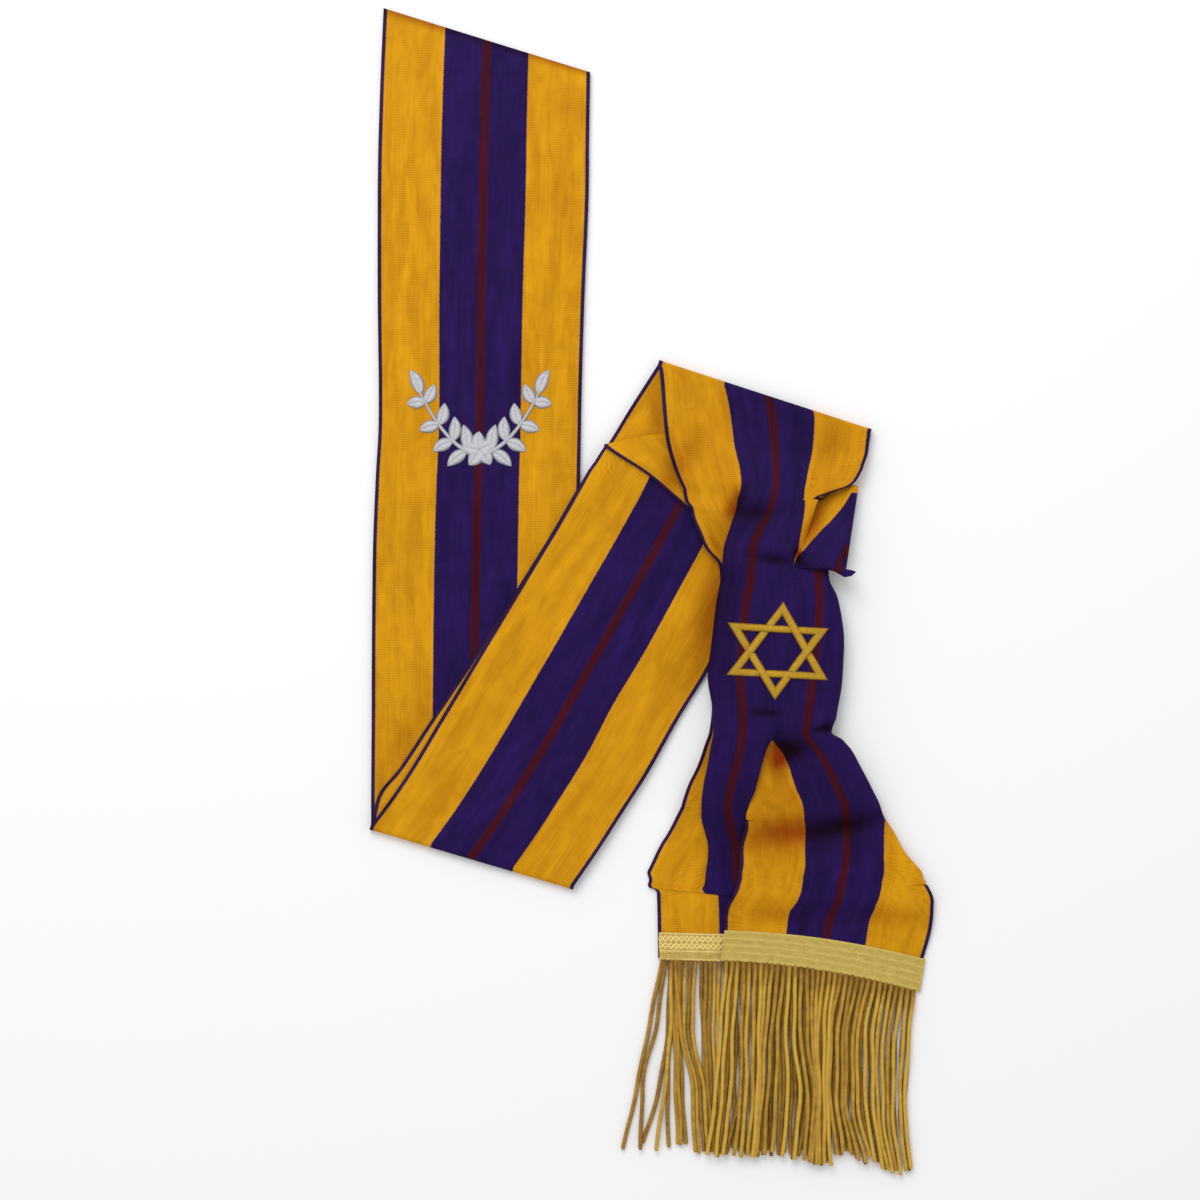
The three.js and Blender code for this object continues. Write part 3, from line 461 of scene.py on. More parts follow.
# Soft dents in the upper cloth, with painted shade: middle, half length, half width, way, depth and
# tone, how much painted shade darkens the cloth there (an entry of depth 0 is painted shade alone)
dentsAndShade = table("x y long wide turn depth tone", [
    (66, -117, 24, 8.8, 4, 2.2, 0.75), (96, -113.5, 16, 5, 12, 1.8, 0.75),
    (92, -157, 34, 6, -6, 1, 0.20), (50.5, 37, 10, 5, 0, 1.6, 0.75),
    (44, 46, 7, 4, 60, 0.6, 0.30), (59.2, 14.6, 9, 2.8, -8, 1.3, 0.80),
    (55.3, -59.2, 8, 2.2, -4, 0.9, 0.75), (83.5, -66.5, 6, 2.4, 14, 1.1, 0.90),
    (69, -77, 7, 6, 30, 1, 0.90), (30, -10, 34, 9, 82, 0, 0.65),
    (8, -48, 34, 5, 62, 0, 0.12), (39.6, 40, 9, 4, 62, 0, 0.55),
    (60.4, -81.5, 9, 5, 90, 0, 0.85), (22.3, -82.5, 13, 3.5, 66, 0, 0.50),
    (78.5, 33, 17, 3.4, 62, 0, 0.75), (88, 72, 12, 10, 60, 0, 0.28),
    (60, 70, 40, 34, 0, 0, 0.14), (-37, 232, 10, 6, -16, 0, 0.30),
    (-44, 187, 9, 5, 80, 0, 0.25), (13, 60, 22, 7, 60, 0.4, 0.45),
    (60, -100, 50, 60, 0, 0, 0.12), (84, 8.6, 8, 2, -18, 0, 0.75),
    (70.6, 16.5, 6, 2.2, 112, 0, 0.95), (118, -157, 18, 5, -6, 0, 0.28),
    (60, -157, 13, 5, 0, 0.4, 0.36), (64, -100, 13, 6, 4, 0, 0.22),
    (23, -130, 9, 1.5, 66, 0.8, 0.22), (17.5, -131, 10, 1.3, 60, 0.9, 0.24),
    (12.5, -134, 8, 1.3, 56, 0.7, 0.22), (28.5, 25, 8, 1.2, -62, 0.3, 0.32),
    (62, -76.5, 5, 3.2, 90, 0, 0.70), (2, 86, 20, 3.2, 104, 0, 0.42),
    (-118.6, -71.5, 26, 5, 57, 0, 0.30), (26.2, 91.3, 0.9, 0.7, 60, 0, 0.50),
])


def layerHeight(index):
    return cloth["wall"] / 2 + index * cloth["pitch"]


def flatRow(row, height, face, shift=0.0):
    dx, dy = row["x2"] - row["x1"], row["y2"] - row["y1"]
    length = math.hypot(dx, dy)
    return {
        **level, **limbHalves, "bow": row["bow"], "z": height, "normal": face,
        "x": (row["x1"] + row["x2"]) / 2 + shift * dx / length,
        "y": (row["y1"] + row["y2"]) / 2 + shift * dy / length,
        "lean": math.degrees(math.atan2(dy, dx)), "stretch": length / cloth["width"],
    }


def facing(rows, face):
    return [{**row, "normal": face} for row in rows]


def resampled(rows, apart):
    marks = [0.0]
    for before, after in zip(rows, rows[1:]):
        marks.append(marks[-1] + math.dist([before[k] for k in "xyz"], [after[k] for k in "xyz"]))
    count = max(2, round(marks[-1] / apart))
    names = [name for name in rows[0] if name != "normal"]
    lines = {name: smoothLine(marks, [row[name] for row in rows]) for name in names}
    made = []
    for step in range(count + 1):
        row = {name: lines[name](marks[-1] * step / count) for name in names}
        made.append({**row, "normal": rows[0]["normal"]})
    return made


bandNames = ["inner1", "outer1", "inner2", "outer2"]


def drawnIn(rows, bands):
    marks = [band["y"] for band in bands]
    lines = {name: smoothLine(marks, [band[name] for band in bands]) for name in bandNames}
    return [{**row, **{name: line(row["y"]) for name, line in lines.items()}} for row in rows]


def drawn(row, across):  # where a place in the flat ribbon comes to lie
    side, reach = ("1" if across < 0 else "2"), abs(across)
    inner = min(reach, silk["purpleHalf"])
    edge = max(0.0, reach - silk["edgeFrom"])
    outer = reach - inner - edge
    reach = inner * row.get("inner" + side, 1) + outer * row.get("outer" + side, 1) + edge
    return math.copysign(reach * row["stretch"], across)


def creaseRows(row, radius, way, rising, inward, after=None):  # half turn of the cloth about a crease
    aside = towards(way)
    turn = -1 if rising else 1
    ends = {name: (after or row).get(name, 1) for name in ["x", "y", "stretch", *bandNames]}
    made = []
    for step in range(1, cloth["creaseSteps"] + 1):
        swing = turn * (math.pi / 2 - step * math.pi / (cloth["creaseSteps"] + 1))
        normal = aside * math.cos(swing) + Vector((0, 0, math.sin(swing)))
        share = step / (cloth["creaseSteps"] + 1)
        spot = {name: row.get(name, 1) * (1 - share) + end * share for name, end in ends.items()}
        made.append({
            **row, **spot,
            "x": spot["x"] + aside.x * radius * math.cos(swing),
            "y": spot["y"] + aside.y * radius * math.cos(swing),
            "z": row["z"] + radius * (math.sin(swing) - turn),
            "normal": -normal if inward else normal,
        })
    return made


def walkSide(row, side):  # from the middle line out, round the fold and back in a zigzag
    fold, radius, edge = row["fold" + side], row["radius" + side], row["edge" + side]
    angle = math.radians(row["turn" + side])
    bend, backBend = math.pi * radius, math.pi * cloth["backRadius"]
    start = fold - radius * math.sin(min(angle, math.pi / 2))
    depth = max(cloth["shortestLeg"], (cloth["half"] - edge - bend - backBend) / 2)
    rest = cloth["half"] - start - bend - depth - backBend
    steps = cloth["legSteps"]
    legs = (
        (start, 0, steps["start"]), (bend, angle, steps["bend"]), (depth, 0, steps["depth"]),
        (backBend, -angle, steps["backBend"]), (rest, 0, steps["rest"]),
    )
    across = behind = heading = walked = 0.0
    made = []
    for length, turn, count in legs:
        for _ in range(count):
            middle = heading + turn / count / 2
            across += length / count * math.cos(middle)
            behind += length / count * math.sin(middle)
            heading += turn / count
            walked += length / count
            made.append((across, behind, walked))
    return made


def drape(x):
    lift = 2 * cloth["pitch"]
    return lift * (1 - smoothStep(cloth["limbEdgeX"], cloth["limbEdgeX"] + cloth["drapeRun"], x))


def ripple(x, y):  # slight unevenness that all the layers share
    waves = cloth["ripples"]
    rise = sum(math.sin(x / inX + y / inY + start) for inX, inY, start in waves)
    return cloth["ripple"] * (rise + len(waves))


# sums one column of the table near a place: depth for the dents, tone for the painted shade
def dentAndShadeAt(x, y, wanted):
    total = 0.0
    for patch in dentsAndShade:
        turn = math.radians(patch["turn"])
        dx, dy = x - patch["x"], y - patch["y"]
        along = (dx * math.cos(turn) + dy * math.sin(turn)) / patch["long"]
        beside = (dy * math.cos(turn) - dx * math.sin(turn)) / patch["wide"]
        total += patch[wanted] * math.exp(-along * along - beside * beside)
    return total


def clothHeight(height, x, y):
    sink = dentAndShadeAt(x, y, "depth") * smoothStep(0, cloth["hollowFull"], height)
    return max(cloth["lowest"], height + ripple(x, y) - sink)


def rowPoints(row, draped):
    first = [(-across, behind, -walked) for across, behind, walked in walkSide(row, "1")]
    section = [*reversed(first), (0.0, 0.0, 0.0), *walkSide(row, "2")]
    along, tip = towards(row["lean"]), math.radians(row["tip"])
    points, reach = [], []
    for across, behind, walked in section:
        share = across / cloth["half"]
        point = Vector((row["x"], row["y"], row["z"]))
        point += along * (drawn(row, across) * math.cos(tip))
        point += leftOf(along) * (row["bow"] * (1 - share * share))
        point -= row["normal"] * behind
        point.z += across * math.sin(tip)
        point.z += row["droop"] * share**3 if share < 0 else 0
        point.z += drape(point.x) if draped else 0
        point.z = clothHeight(point.z, point.x, point.y)
        points.append(point)
        reach.append(walked)
    return points, reach


def leanSlopes(rows):  # how far the weave runs ahead, per mm across, where a row isn't square
    made = []
    for index, row in enumerate(rows):
        before, after = rows[max(index - 1, 0)], rows[min(index + 1, len(rows) - 1)]
        way = Vector((after["x"] - before["x"], after["y"] - before["y"], 0)).normalized()
        made.append(row["stretch"] * way.dot(towards(row["lean"])))
    return made


def wallAbout(grid, reaches, runs, name):
    rowCount, columnCount = len(grid), len(grid[0])
    points, places = [], []
    for side in (0.5, -0.5):
        for row in range(rowCount):
            for column in range(columnCount):
                right = grid[row][min(column + 1, columnCount - 1)] - grid[row][max(column - 1, 0)]
                ahead = grid[min(row + 1, rowCount - 1)][column] - grid[max(row - 1, 0)][column]
                normal = right.cross(ahead).normalized()
                reach = reaches[row][column]
                bead = smoothStep(cloth["edgeFrom"], cloth["edgeFull"], abs(reach))
                thick = cloth["thickness"] + bead * (cloth["edgeThickness"] - cloth["thickness"])
                points.append(grid[row][column] - normal * (side * thick))
                places.append((reach, runs[row][column]))
    back = rowCount * columnCount
    faces = stripFaces(rowCount, columnCount, False)
    faces += [tuple(index + back for index in reversed(quad)) for quad in faces]
    last = (rowCount - 1) * columnCount
    rim = [*range(columnCount), *(row * columnCount + columnCount - 1 for row in range(1, rowCount))]
    rim += [*(last + column for column in range(columnCount - 2, -1, -1))]
    rim += [*(row * columnCount for row in range(rowCount - 2, 0, -1))]
    for here, following in zip(rim, [*rim[1:], rim[0]]):
        faces.append((here, following, following + back, here + back))
    # painted shade: tone from the table of dents and shade, stored on the cloth
    tones = [min(1.0, dentAndShadeAt(point.x, point.y, "tone")) for point in points]
    for column in range(columnCount):
        tones[column] = tones[column + back] = cloth["shoulderShade"]  # painted shade along the shoulder end
    return meshPiece(name, points, faces, places, "cloth", tones)


def ribbon(name, spans):  # spans are (rows, whether in a crease, whether draped or only its upper part)
    grid, reaches, runs = [], [], []
    run, middle, lastSlope = 0.0, None, 0.0
    for rows, creased, draped in spans:
        slopes = [lastSlope] * len(rows) if creased else leanSlopes(rows)
        for row, slope in zip(rows, slopes):
            points, reach = rowPoints(row, draped and (draped != "upper" or row["y"] > 0))
            here = points[len(points) // 2]
            run += (here - middle).length if middle else 0
            middle = here
            grid.append(points)
            reaches.append(reach)
            runs.append([run + across * slope for across in reach])
            lastSlope = slope
    print(f"{name}: {len(grid)} rows, {run:.0f} mm along the middle")
    return wallAbout(grid, reaches, runs, name)


crease = {"lowerLeft": -106.44, "frontTop": 71.95, "backTop": 87.08, "flap": -2.0}
spacing = {"limb": 4.0, "gather": 1.1, "fine": 0.6, "tail": 2.0}


def frontRibbon():
    first = resampled([flatRow(row, layerHeight(1), faceUp) for row in leftLimb], spacing["limb"])
    peek = smoothLine([place["y"] for place in lowerPeek], [place["shift"] for place in lowerPeek])
    limb = [*secondLimb, *frontLimbTop]
    lower = [flatRow(row, layerHeight(0), faceDown, -peek(row["y1"])) for row in limb]
    second = resampled(lower, spacing["limb"])
    third = drawnIn(resampled(facing(frontGather, faceUp), spacing["gather"]), frontBands)
    step = resampled(facing([frontGather[-1], *frontWall], faceUp), spacing["fine"])[1:]
    tail = resampled(facing(frontTailEnd, faceUp), spacing["tail"])
    tight, wide = cloth["tightCrease"], cloth["wideCrease"]
    return ribbon("stripedRibbonFront", [
        (first, False, False),
        (creaseRows(first[-1], tight, crease["lowerLeft"], True, True), True, False),
        (second, False, True),
        (creaseRows(second[-1], wide, crease["frontTop"], True, False, third[0]), True, True),
        (third, False, "upper"),
        (step, True, False),
        (tail, False, False),
    ])


def backRibbon():
    first = resampled([flatRow(row, layerHeight(0), faceDown) for row in leftLimb], spacing["limb"])
    upper = [flatRow(row, layerHeight(1), faceUp) for row in [*secondLimb, *backLimbTop]]
    second = drawnIn(resampled(upper, spacing["limb"]), limbBands)
    across = [flatRow(row, layerHeight(2), faceDown) for row in backCrossing]
    hidden = resampled([*across, *facing(backUnder, faceDown)], spacing["gather"])
    third = drawnIn(resampled(facing(backGather, faceUp), spacing["gather"]), backBands)
    flap = resampled(facing(backFlap, faceUp), spacing["fine"])
    step = resampled(facing([backFlap[-1], *backWall], faceUp), spacing["fine"])[1:]
    tight, wide, loose = cloth["tightCrease"], cloth["wideCrease"], cloth["looseCrease"]
    return ribbon("stripedRibbonBack", [
        (first, False, False),
        (creaseRows(first[-1], wide, crease["lowerLeft"], True, False), True, False),
        (second, False, True),
        (creaseRows(second[-1], tight, crease["backTop"], True, True), True, True),
        (hidden, False, True),
        (creaseRows(hidden[-1], loose, crease["flap"], True, False), True, False),
        (flap, False, False),
        (step, True, False),
        (third, False, False),
    ])


ribbonFront = frontRibbon()
ribbonBack = backRibbon()
finished(ribbonFront, stripedSilk, "front_ribbon")
finished(ribbonBack, stripedSilk, "back_ribbon")
print("ribbons folded")


# Thread, braid and cord

thread = {
    "roughness": 0.4, "sheen": 0.05, "glossStretch": 0.4, "narrow": 0.4, "noise": (2.2, 3.0, 0.6),
    "layShare": 0.5, "noiseShare": (1.3, -0.4), "sideShadeFade": (0.55, 0.98),
    "noiseRise": 0.6, "relief": (0.7, 0.00022),
}


def threadMaterial(name, dark, light, side, gloss, slant, lay):
    made, tree, shader = newMaterial(name, light, thread["roughness"], gloss, thread["sheen"])
    shader.inputs["Anisotropic"].default_value = thread["glossStretch"]
    along, across = mapParts(tree, "thread")
    reach = calc(tree, "ABSOLUTE", across)  # 0 on the middle line, 1 at the edge
    slanted = fit(tree, reach, slant, along)
    strands = ridges(tree, slanted, lay)
    narrowed = times(tree, across, thread["narrow"])
    place = node(tree, "CombineXYZ", X=slanted, Y=narrowed).outputs[0]
    uneven = noise(tree, place, *thread["noise"])
    # stitch crests lighter, as painted highlight, with uneven thread tone from the noise
    tone = fit(tree, strands, thread["layShare"], fit(tree, uneven, *thread["noiseShare"]))
    body = blend(tree, fade(tree, tone, 0, 1), (*dark, 1), (*light, 1))
    # painted shade: bars and strokes darken towards their sloping sides
    colour = blend(tree, fade(tree, reach, *thread["sideShadeFade"]), body, (*side, 1))
    tree.links.new(colour, shader.inputs["Base Color"])
    bumped(tree, shader, fit(tree, uneven, thread["noiseRise"], strands), *thread["relief"])
    return made


# side is the painted shade colour of the sloping sides
goldThread = threadMaterial(
    "goldThread", dark=(0.30, 0.14, 0.006), light=(0.78, 0.47, 0.022), side=(0.17, 0.070, 0.005),
    gloss=0.22, slant=0.3, lay=0.62)
whiteThread = threadMaterial(
    "whiteThread", dark=(0.26, 0.26, 0.30), light=(0.88, 0.88, 0.90), side=(0.20, 0.19, 0.24),
    gloss=0.5, slant=2.2, lay=0.7)


padding = {"steps": 12, "grooveWidth": 0.16}


def paddedShape(name, left, right, rises, bases, groove=0.0):
    steps = padding["steps"]
    points, places = [], []
    walked, before = 0.0, None
    for one, two, rise, base in zip(left, right, rises, bases):
        middle = (one + two) / 2
        walked += (middle - before).length if before else 0
        before = middle
        for step in range(steps + 1):
            side = 2 * step / steps - 1
            dome = math.sqrt(max(0.0, 1 - side * side))
            dome *= 1 - groove * math.exp(-((side / padding["grooveWidth"]) ** 2))
            spot = one.lerp(two, step / steps)
            points.append((spot.x, spot.y, base + rise * dome))
            places.append((walked, side))
    faces = stripFaces(len(left), steps + 1, True)
    faces.append(tuple(range(steps + 1)))
    faces.append(tuple(reversed(range(len(points) - steps - 1, len(points)))))
    return meshPiece(name, points, faces, places, "thread")


def outward(piece):
    choose(piece)
    bpy.ops.object.mode_set(mode="EDIT")
    bpy.ops.mesh.select_all(action="SELECT")
    bpy.ops.mesh.normals_make_consistent(inside=False)
    bpy.ops.object.mode_set(mode="OBJECT")
    return piece


# Star of two woven triangles: each bar dips under at its first crossing and rises over at its second
star = {
    "upright": [(63.4, -5.2), (35.6, -40.9), (85.1, -43.5)],
    "inverted": [(59.2, -53.2), (85.6, -18.2), (36.2, -15.3)],
    "bar": 4.0, "rise": 1.6, "over": 0.55, "under": 0.8, "crossing": 2.6,
    "clothHeight": 12.2, "sunk": 0.1, "steps": 60,
}


def topOfCloth(height, x, y):
    return clothHeight(height, x, y) + cloth["thickness"] / 2


def starBar(outerA, outerB, innerA, innerB):
    length = (outerB - outerA).length
    left, right, rises, bases = [], [], [], []
    for step in range(star["steps"] + 1):
        share = step / star["steps"]
        one, two = outerA.lerp(outerB, share), innerA.lerp(innerB, share)
        middle = (one + two) / 2
        dip = math.exp(-(((share - 1 / 3) * length / star["crossing"]) ** 2))
        hill = math.exp(-(((share - 2 / 3) * length / star["crossing"]) ** 2))
        left.append(one)
        right.append(two)
        rises.append(star["rise"])
        lift = star["over"] * hill - star["under"] * dip - star["sunk"]
        bases.append(topOfCloth(star["clothHeight"], middle.x, middle.y) + lift)
    return outward(paddedShape("starBar", left, right, rises, bases))


def goldStarPiece():
    bars = []
    for which in ("upright", "inverted"):
        outer = [Vector((*corner, 0)) for corner in star[which]]
        middle = sum(outer, Vector((0, 0, 0))) / 3
        inset = []
        for index, corner in enumerate(outer):
            sides = [(outer[index - 1] - corner).normalized(), (outer[index - 2] - corner).normalized()]
            halfAngle = sides[0].angle(sides[1]) / 2
            inset.append(corner + (middle - corner).normalized() * (star["bar"] / math.sin(halfAngle)))
        for index in range(3):
            following = (index + 1) % 3
            bars.append(starBar(outer[index], outer[following], inset[index], inset[following]))
    return joined(bars, "goldStar")


goldStar = goldStarPiece()
finished(goldStar, goldThread, "star")

# Leaf spray: two mirrored stems with leaves, and a flower where they meet
spray = {
    "x": -83.2, "y": 83.0, "height": 1.8, "rise": 1.5, "sunk": 0.1,
    "stemWidth": 2.6, "stemSteps": 40, "leafWidth": 6.4, "leafSteps": 18,
    "stemReach": 27.0, "stemFoot": (2.0, -17.0), "stemRise": (6.0, 24.0),
    "stemTaper": 0.45, "leafBend": 0.06, "leafTip": 0.12, "leafFull": (0.85, 0.8), "groove": 0.5,
    "petals": 5, "petalLength": 9.0, "petalWidth": 7.6, "flower": (0.0, -15.0),
}
leaves = table("share turn length", [
    (0.15, 82, 13), (0.15, -38, 12), (0.40, 93, 12), (0.40, -27, 11), (0.65, 104, 11),
    (0.65, -16, 10), (0.90, 115, 10), (0.90, -5, 9), (0.98, 66, 13),
])


def stemPoint(share):
    x = spray["stemFoot"][0] + spray["stemReach"] * share
    y = spray["stemFoot"][1] + spray["stemRise"][0] * share + spray["stemRise"][1] * share * share
    return Vector((x, y, 0))


def sprayShape(spine, widths, mirror, groove):
    left, right, rises, bases = [], [], [], []
    widest = max(widths)
    for index, (spot, width) in enumerate(zip(spine, widths)):
        ahead = spine[min(index + 1, len(spine) - 1)] - spine[max(index - 1, 0)]
        square = leftOf(ahead).normalized() * (width / 2)
        middle = Vector((spray["x"] + mirror * spot.x, spray["y"] + spot.y, 0))
        square.x *= mirror
        left.append(middle + square)
        right.append(middle - square)
        rises.append(spray["rise"] * math.sqrt(width / widest))
        bases.append(topOfCloth(spray["height"], middle.x, middle.y) - spray["sunk"])
    return outward(paddedShape("sprayPart", left, right, rises, bases, groove))


def leafShape(foot, turn, length, width, mirror):
    way = towards(turn)
    early, blunt = spray["leafFull"]
    spine, widths = [], []
    for step in range(spray["leafSteps"] + 1):
        share = step / spray["leafSteps"]
        bend = math.sin(share * math.pi) * length * spray["leafBend"]
        spine.append(foot + way * (length * share) + leftOf(way) * bend)
        widths.append(spray["leafTip"] + width * math.sin(math.pi * share**early) ** blunt)
    return sprayShape(spine, widths, mirror, spray["groove"])


def leafSprayPiece():
    parts = []
    for mirror in (1, -1):
        count = spray["stemSteps"]
        steps = range(count + 1)
        spine = [stemPoint(step / count) for step in steps]
        widths = [spray["stemWidth"] * (1 - spray["stemTaper"] * step / count) for step in steps]
        parts.append(sprayShape(spine, widths, mirror, 0.0))
        for leaf in leaves:
            foot = stemPoint(leaf["share"])
            parts.append(leafShape(foot, leaf["turn"], leaf["length"], spray["leafWidth"], mirror))
    centre = Vector((*spray["flower"], 0))
    for petal in range(spray["petals"]):
        turn = 90 + petal * 360 / spray["petals"]
        parts.append(leafShape(centre, turn, spray["petalLength"], spray["petalWidth"], 1))
    return joined(parts, "leafSpray")


leafSpray = leafSprayPiece()
finished(leafSpray, whiteThread, "leaf_spray")
print("embroidery stitched")

braidHeading = "x y top lean stretch bow droop"
leftBand = table(braidHeading, [
    (53.2, -167.0, 1.8, -1.5, 0.99, 0, 0),
    (53.5, -180.5, 1.8, -1.5, 0.99, 0, 0),
])
rightBand = table(braidHeading, [
    (84.2, -171.6, 4.4, 171.7, 0.985, -3, 2.4),
    (81.8, -186.9, 4.4, 171, 0.98, -3, 2.4),
])
braid = {
    "drop": 0.5, "along": 340, "down": 44, "thickness": 0.5, "tallest": 0.55,
    "warp": 0.8, "weft": 0.7, "cords": (3.0, 6.4), "cordWidth": 0.55, "zigzag": 5.2, "swing": 1.25,
    "leftRibs": 0.9, "leftRibRise": 0.10, "rightWeave": (1.6, 1.5), "rightWeaveRise": 0.07,
    "leftLines": (0.5, 9.0, 13.0), "leftLineRise": 0.35, "leftLineWidth": 0.4,
    "rightLines": (0.6, 4.2, 7.6, 11.0, 14.6), "rightLineRise": 0.16, "rightLineWidth": 0.55,
    "roughness": 0.42, "gloss": 0.25, "relief": (0.5, 0.00015), "stops": (0.15, 0.55, 0.95),
    "patches": ((0.25, 0.5, 1), 4.0, 0.6), "glints": ((1.6, 2.4, 1), 1.0, 0.5),
    "weaveShare": 0.3, "patchShare": (0.5, -0.1), "glintShare": 0.8, "ridgeHighlightShare": 0.55, "shift": -0.18,
}


def bandPoint(row, across):
    share = across / cloth["half"]
    along = towards(row["lean"])
    spot = Vector((row["x"], row["y"], 0)) + along * (across * row["stretch"])
    spot += leftOf(along) * (row["bow"] * (1 - share * share))
    height = row["top"] - braid["drop"] + (row["droop"] * share**3 if share < 0 else 0)
    spot.z = clothHeight(height, spot.x, spot.y)
    return spot


def ridgeLines(down, lines, rise, width):
    return max(rise * math.exp(-(((down - line) / width) ** 2)) for line in lines)


def zigzagRelief(across, down):  # two rows of crossed cords above plain ribs
    ribs = braid["leftRibRise"] * math.cos(2 * math.pi * down / braid["leftRibs"])
    lines = ridgeLines(down, braid["leftLines"], braid["leftLineRise"], braid["leftLineWidth"])
    relief = max(ribs, lines)
    for middle in braid["cords"]:
        for start in (0, 0.5):
            zigzag = abs(((across / braid["zigzag"] + start) % 1) * 2 - 1) * 2 - 1
            line = middle + braid["swing"] * zigzag
            relief = max(relief, ridgeLines(down, [line], braid["tallest"], braid["cordWidth"]))
    return relief


def ribRelief(across, down):  # flat weave between raised lines
    warp, weft = braid["rightWeave"]
    weave = math.cos(2 * math.pi * across / warp) * math.cos(2 * math.pi * down / weft)
    lines = ridgeLines(down, braid["rightLines"], braid["rightLineRise"], braid["rightLineWidth"])
    return max(braid["rightWeaveRise"] * weave, lines)


def braidPiece(name, rows, relief):
    bpy.ops.mesh.primitive_grid_add(x_subdivisions=braid["along"], y_subdivisions=braid["down"], size=2)
    piece = bpy.context.object
    piece.name = name
    mesh = piece.data
    depth = math.dist((rows[0]["x"], rows[0]["y"]), (rows[1]["x"], rows[1]["y"]))
    places, lifts = [], []
    for vertex in mesh.vertices:
        across = vertex.co.x * cloth["half"]
        share = (1 - vertex.co.y) / 2
        spot = bandPoint(rows[0], across).lerp(bandPoint(rows[1], across), share)
        places.append((across, share * depth))
        lift = relief(across, share * depth)
        lifts.append(lift / braid["tallest"])
        spot.z += lift
        vertex.co = spot * mm
    mapPlaces(mesh, places, "braid")
    # ridge: relief height, which the braid material turns into painted highlight
    mesh.attributes.new("ridge", "FLOAT", "POINT").data.foreach_set("value", lifts)
    if rows[0]["lean"] > 90:
        mesh.flip_normals()
    choose(piece)
    wall = piece.modifiers.new("wall", "SOLIDIFY")
    wall.thickness = braid["thickness"] * mm
    wall.offset = -1
    bpy.ops.object.modifier_apply(modifier=wall.name)
    return piece


def braidMaterial(name, dark, body, light):
    made, tree, shader = newMaterial(name, body, braid["roughness"], braid["gloss"])
    across, down = mapParts(tree, "braid")
    crossed = times(tree, wave(tree, across, braid["warp"]), wave(tree, down, braid["weft"]))
    weave = fit(tree, crossed, 0.5, 0.5)
    patches = flecks(tree, "braid", *braid["patches"])
    glints = flecks(tree, "braid", *braid["glints"])
    # weave crests lighter as painted highlight, with random patches and painted glints
    tone = fit(tree, weave, braid["weaveShare"], fit(tree, patches, *braid["patchShare"]))
    tone = fit(tree, glints, braid["glintShare"], tone)
    tone = calc(tree, "ADD", tone, braid["shift"])
    # painted highlight on the raised cords and painted shade in the valleys between them
    tone = fit(tree, ownValue(tree, "ridge"), braid["ridgeHighlightShare"], tone)
    colour = ramp(tree, tone, list(zip(braid["stops"], (dark, body, light))))
    tree.links.new(colour, shader.inputs["Base Color"])
    bumped(tree, shader, weave, *braid["relief"])
    return made


shinyBraid = braidMaterial("shinyBraid", (0.24, 0.125, 0.016), (0.50, 0.34, 0.075), (0.86, 0.66, 0.22))
paleBraid = braidMaterial("paleBraid", (0.28, 0.18, 0.03), (0.51, 0.365, 0.08), (0.77, 0.58, 0.15))
leftBraid = braidPiece("leftBraid", leftBand, zigzagRelief)
rightBraid = braidPiece("rightBraid", rightBand, ribRelief)
finished(leftBraid, shinyBraid, "left_braid")
finished(rightBraid, paleBraid, "right_braid")
print("braids woven")

# Fringe: twisted cords, x at the head, at each third and at the foot, and y at the foot
cord = {
    "radius": 1.1, "lobe": 0.09, "lay": 2.4, "ring": 9, "step": 0.85, "tip": 1.2, "tipShare": 0.55,
    "strands": 6, "turnsPerMm": 1.1, "pitch": 2.75, "floorLayer": 1.2, "settle": 7.0,
    "pastLeft": (103.0, 116.0), "drop": 1.75, "shaded": 14.0, "headShade": 0.35,
    "leftEnd": 101.0, "rightEnd": 128.2, "underLeft": 0.5, "underRight": 0.6,
    "waver": 0.25, "waverTurn": 17, "waverFull": 1 / 6, "bob": 0.18, "bobTurn": 11, "clear": 0.05,
    "phases": 6, "leftHead": 0.1, "leftShades": (0.2, 1), "footSpread": 1.2,
    "hiddenStart": 0.9, "hiddenLean": (1, 1.5), "hiddenFoot": -272.0, "hiddenSpread": 2.0,
    "colour": (0.41, 0.225, 0.026), "roughness": 0.5, "gloss": 0.2, "relief": (0.5, 0.00012),
    "noise": (260.0, 3.0, 0.6), "noiseShare": 0.6, "toneShare": 0.6, "strandShare": 0.22,
    "stops": [(0.28, (0.12, 0.045, 0.005)), (0.65, (0.36, 0.19, 0.024)), (1.0, (0.62, 0.39, 0.055))],
}
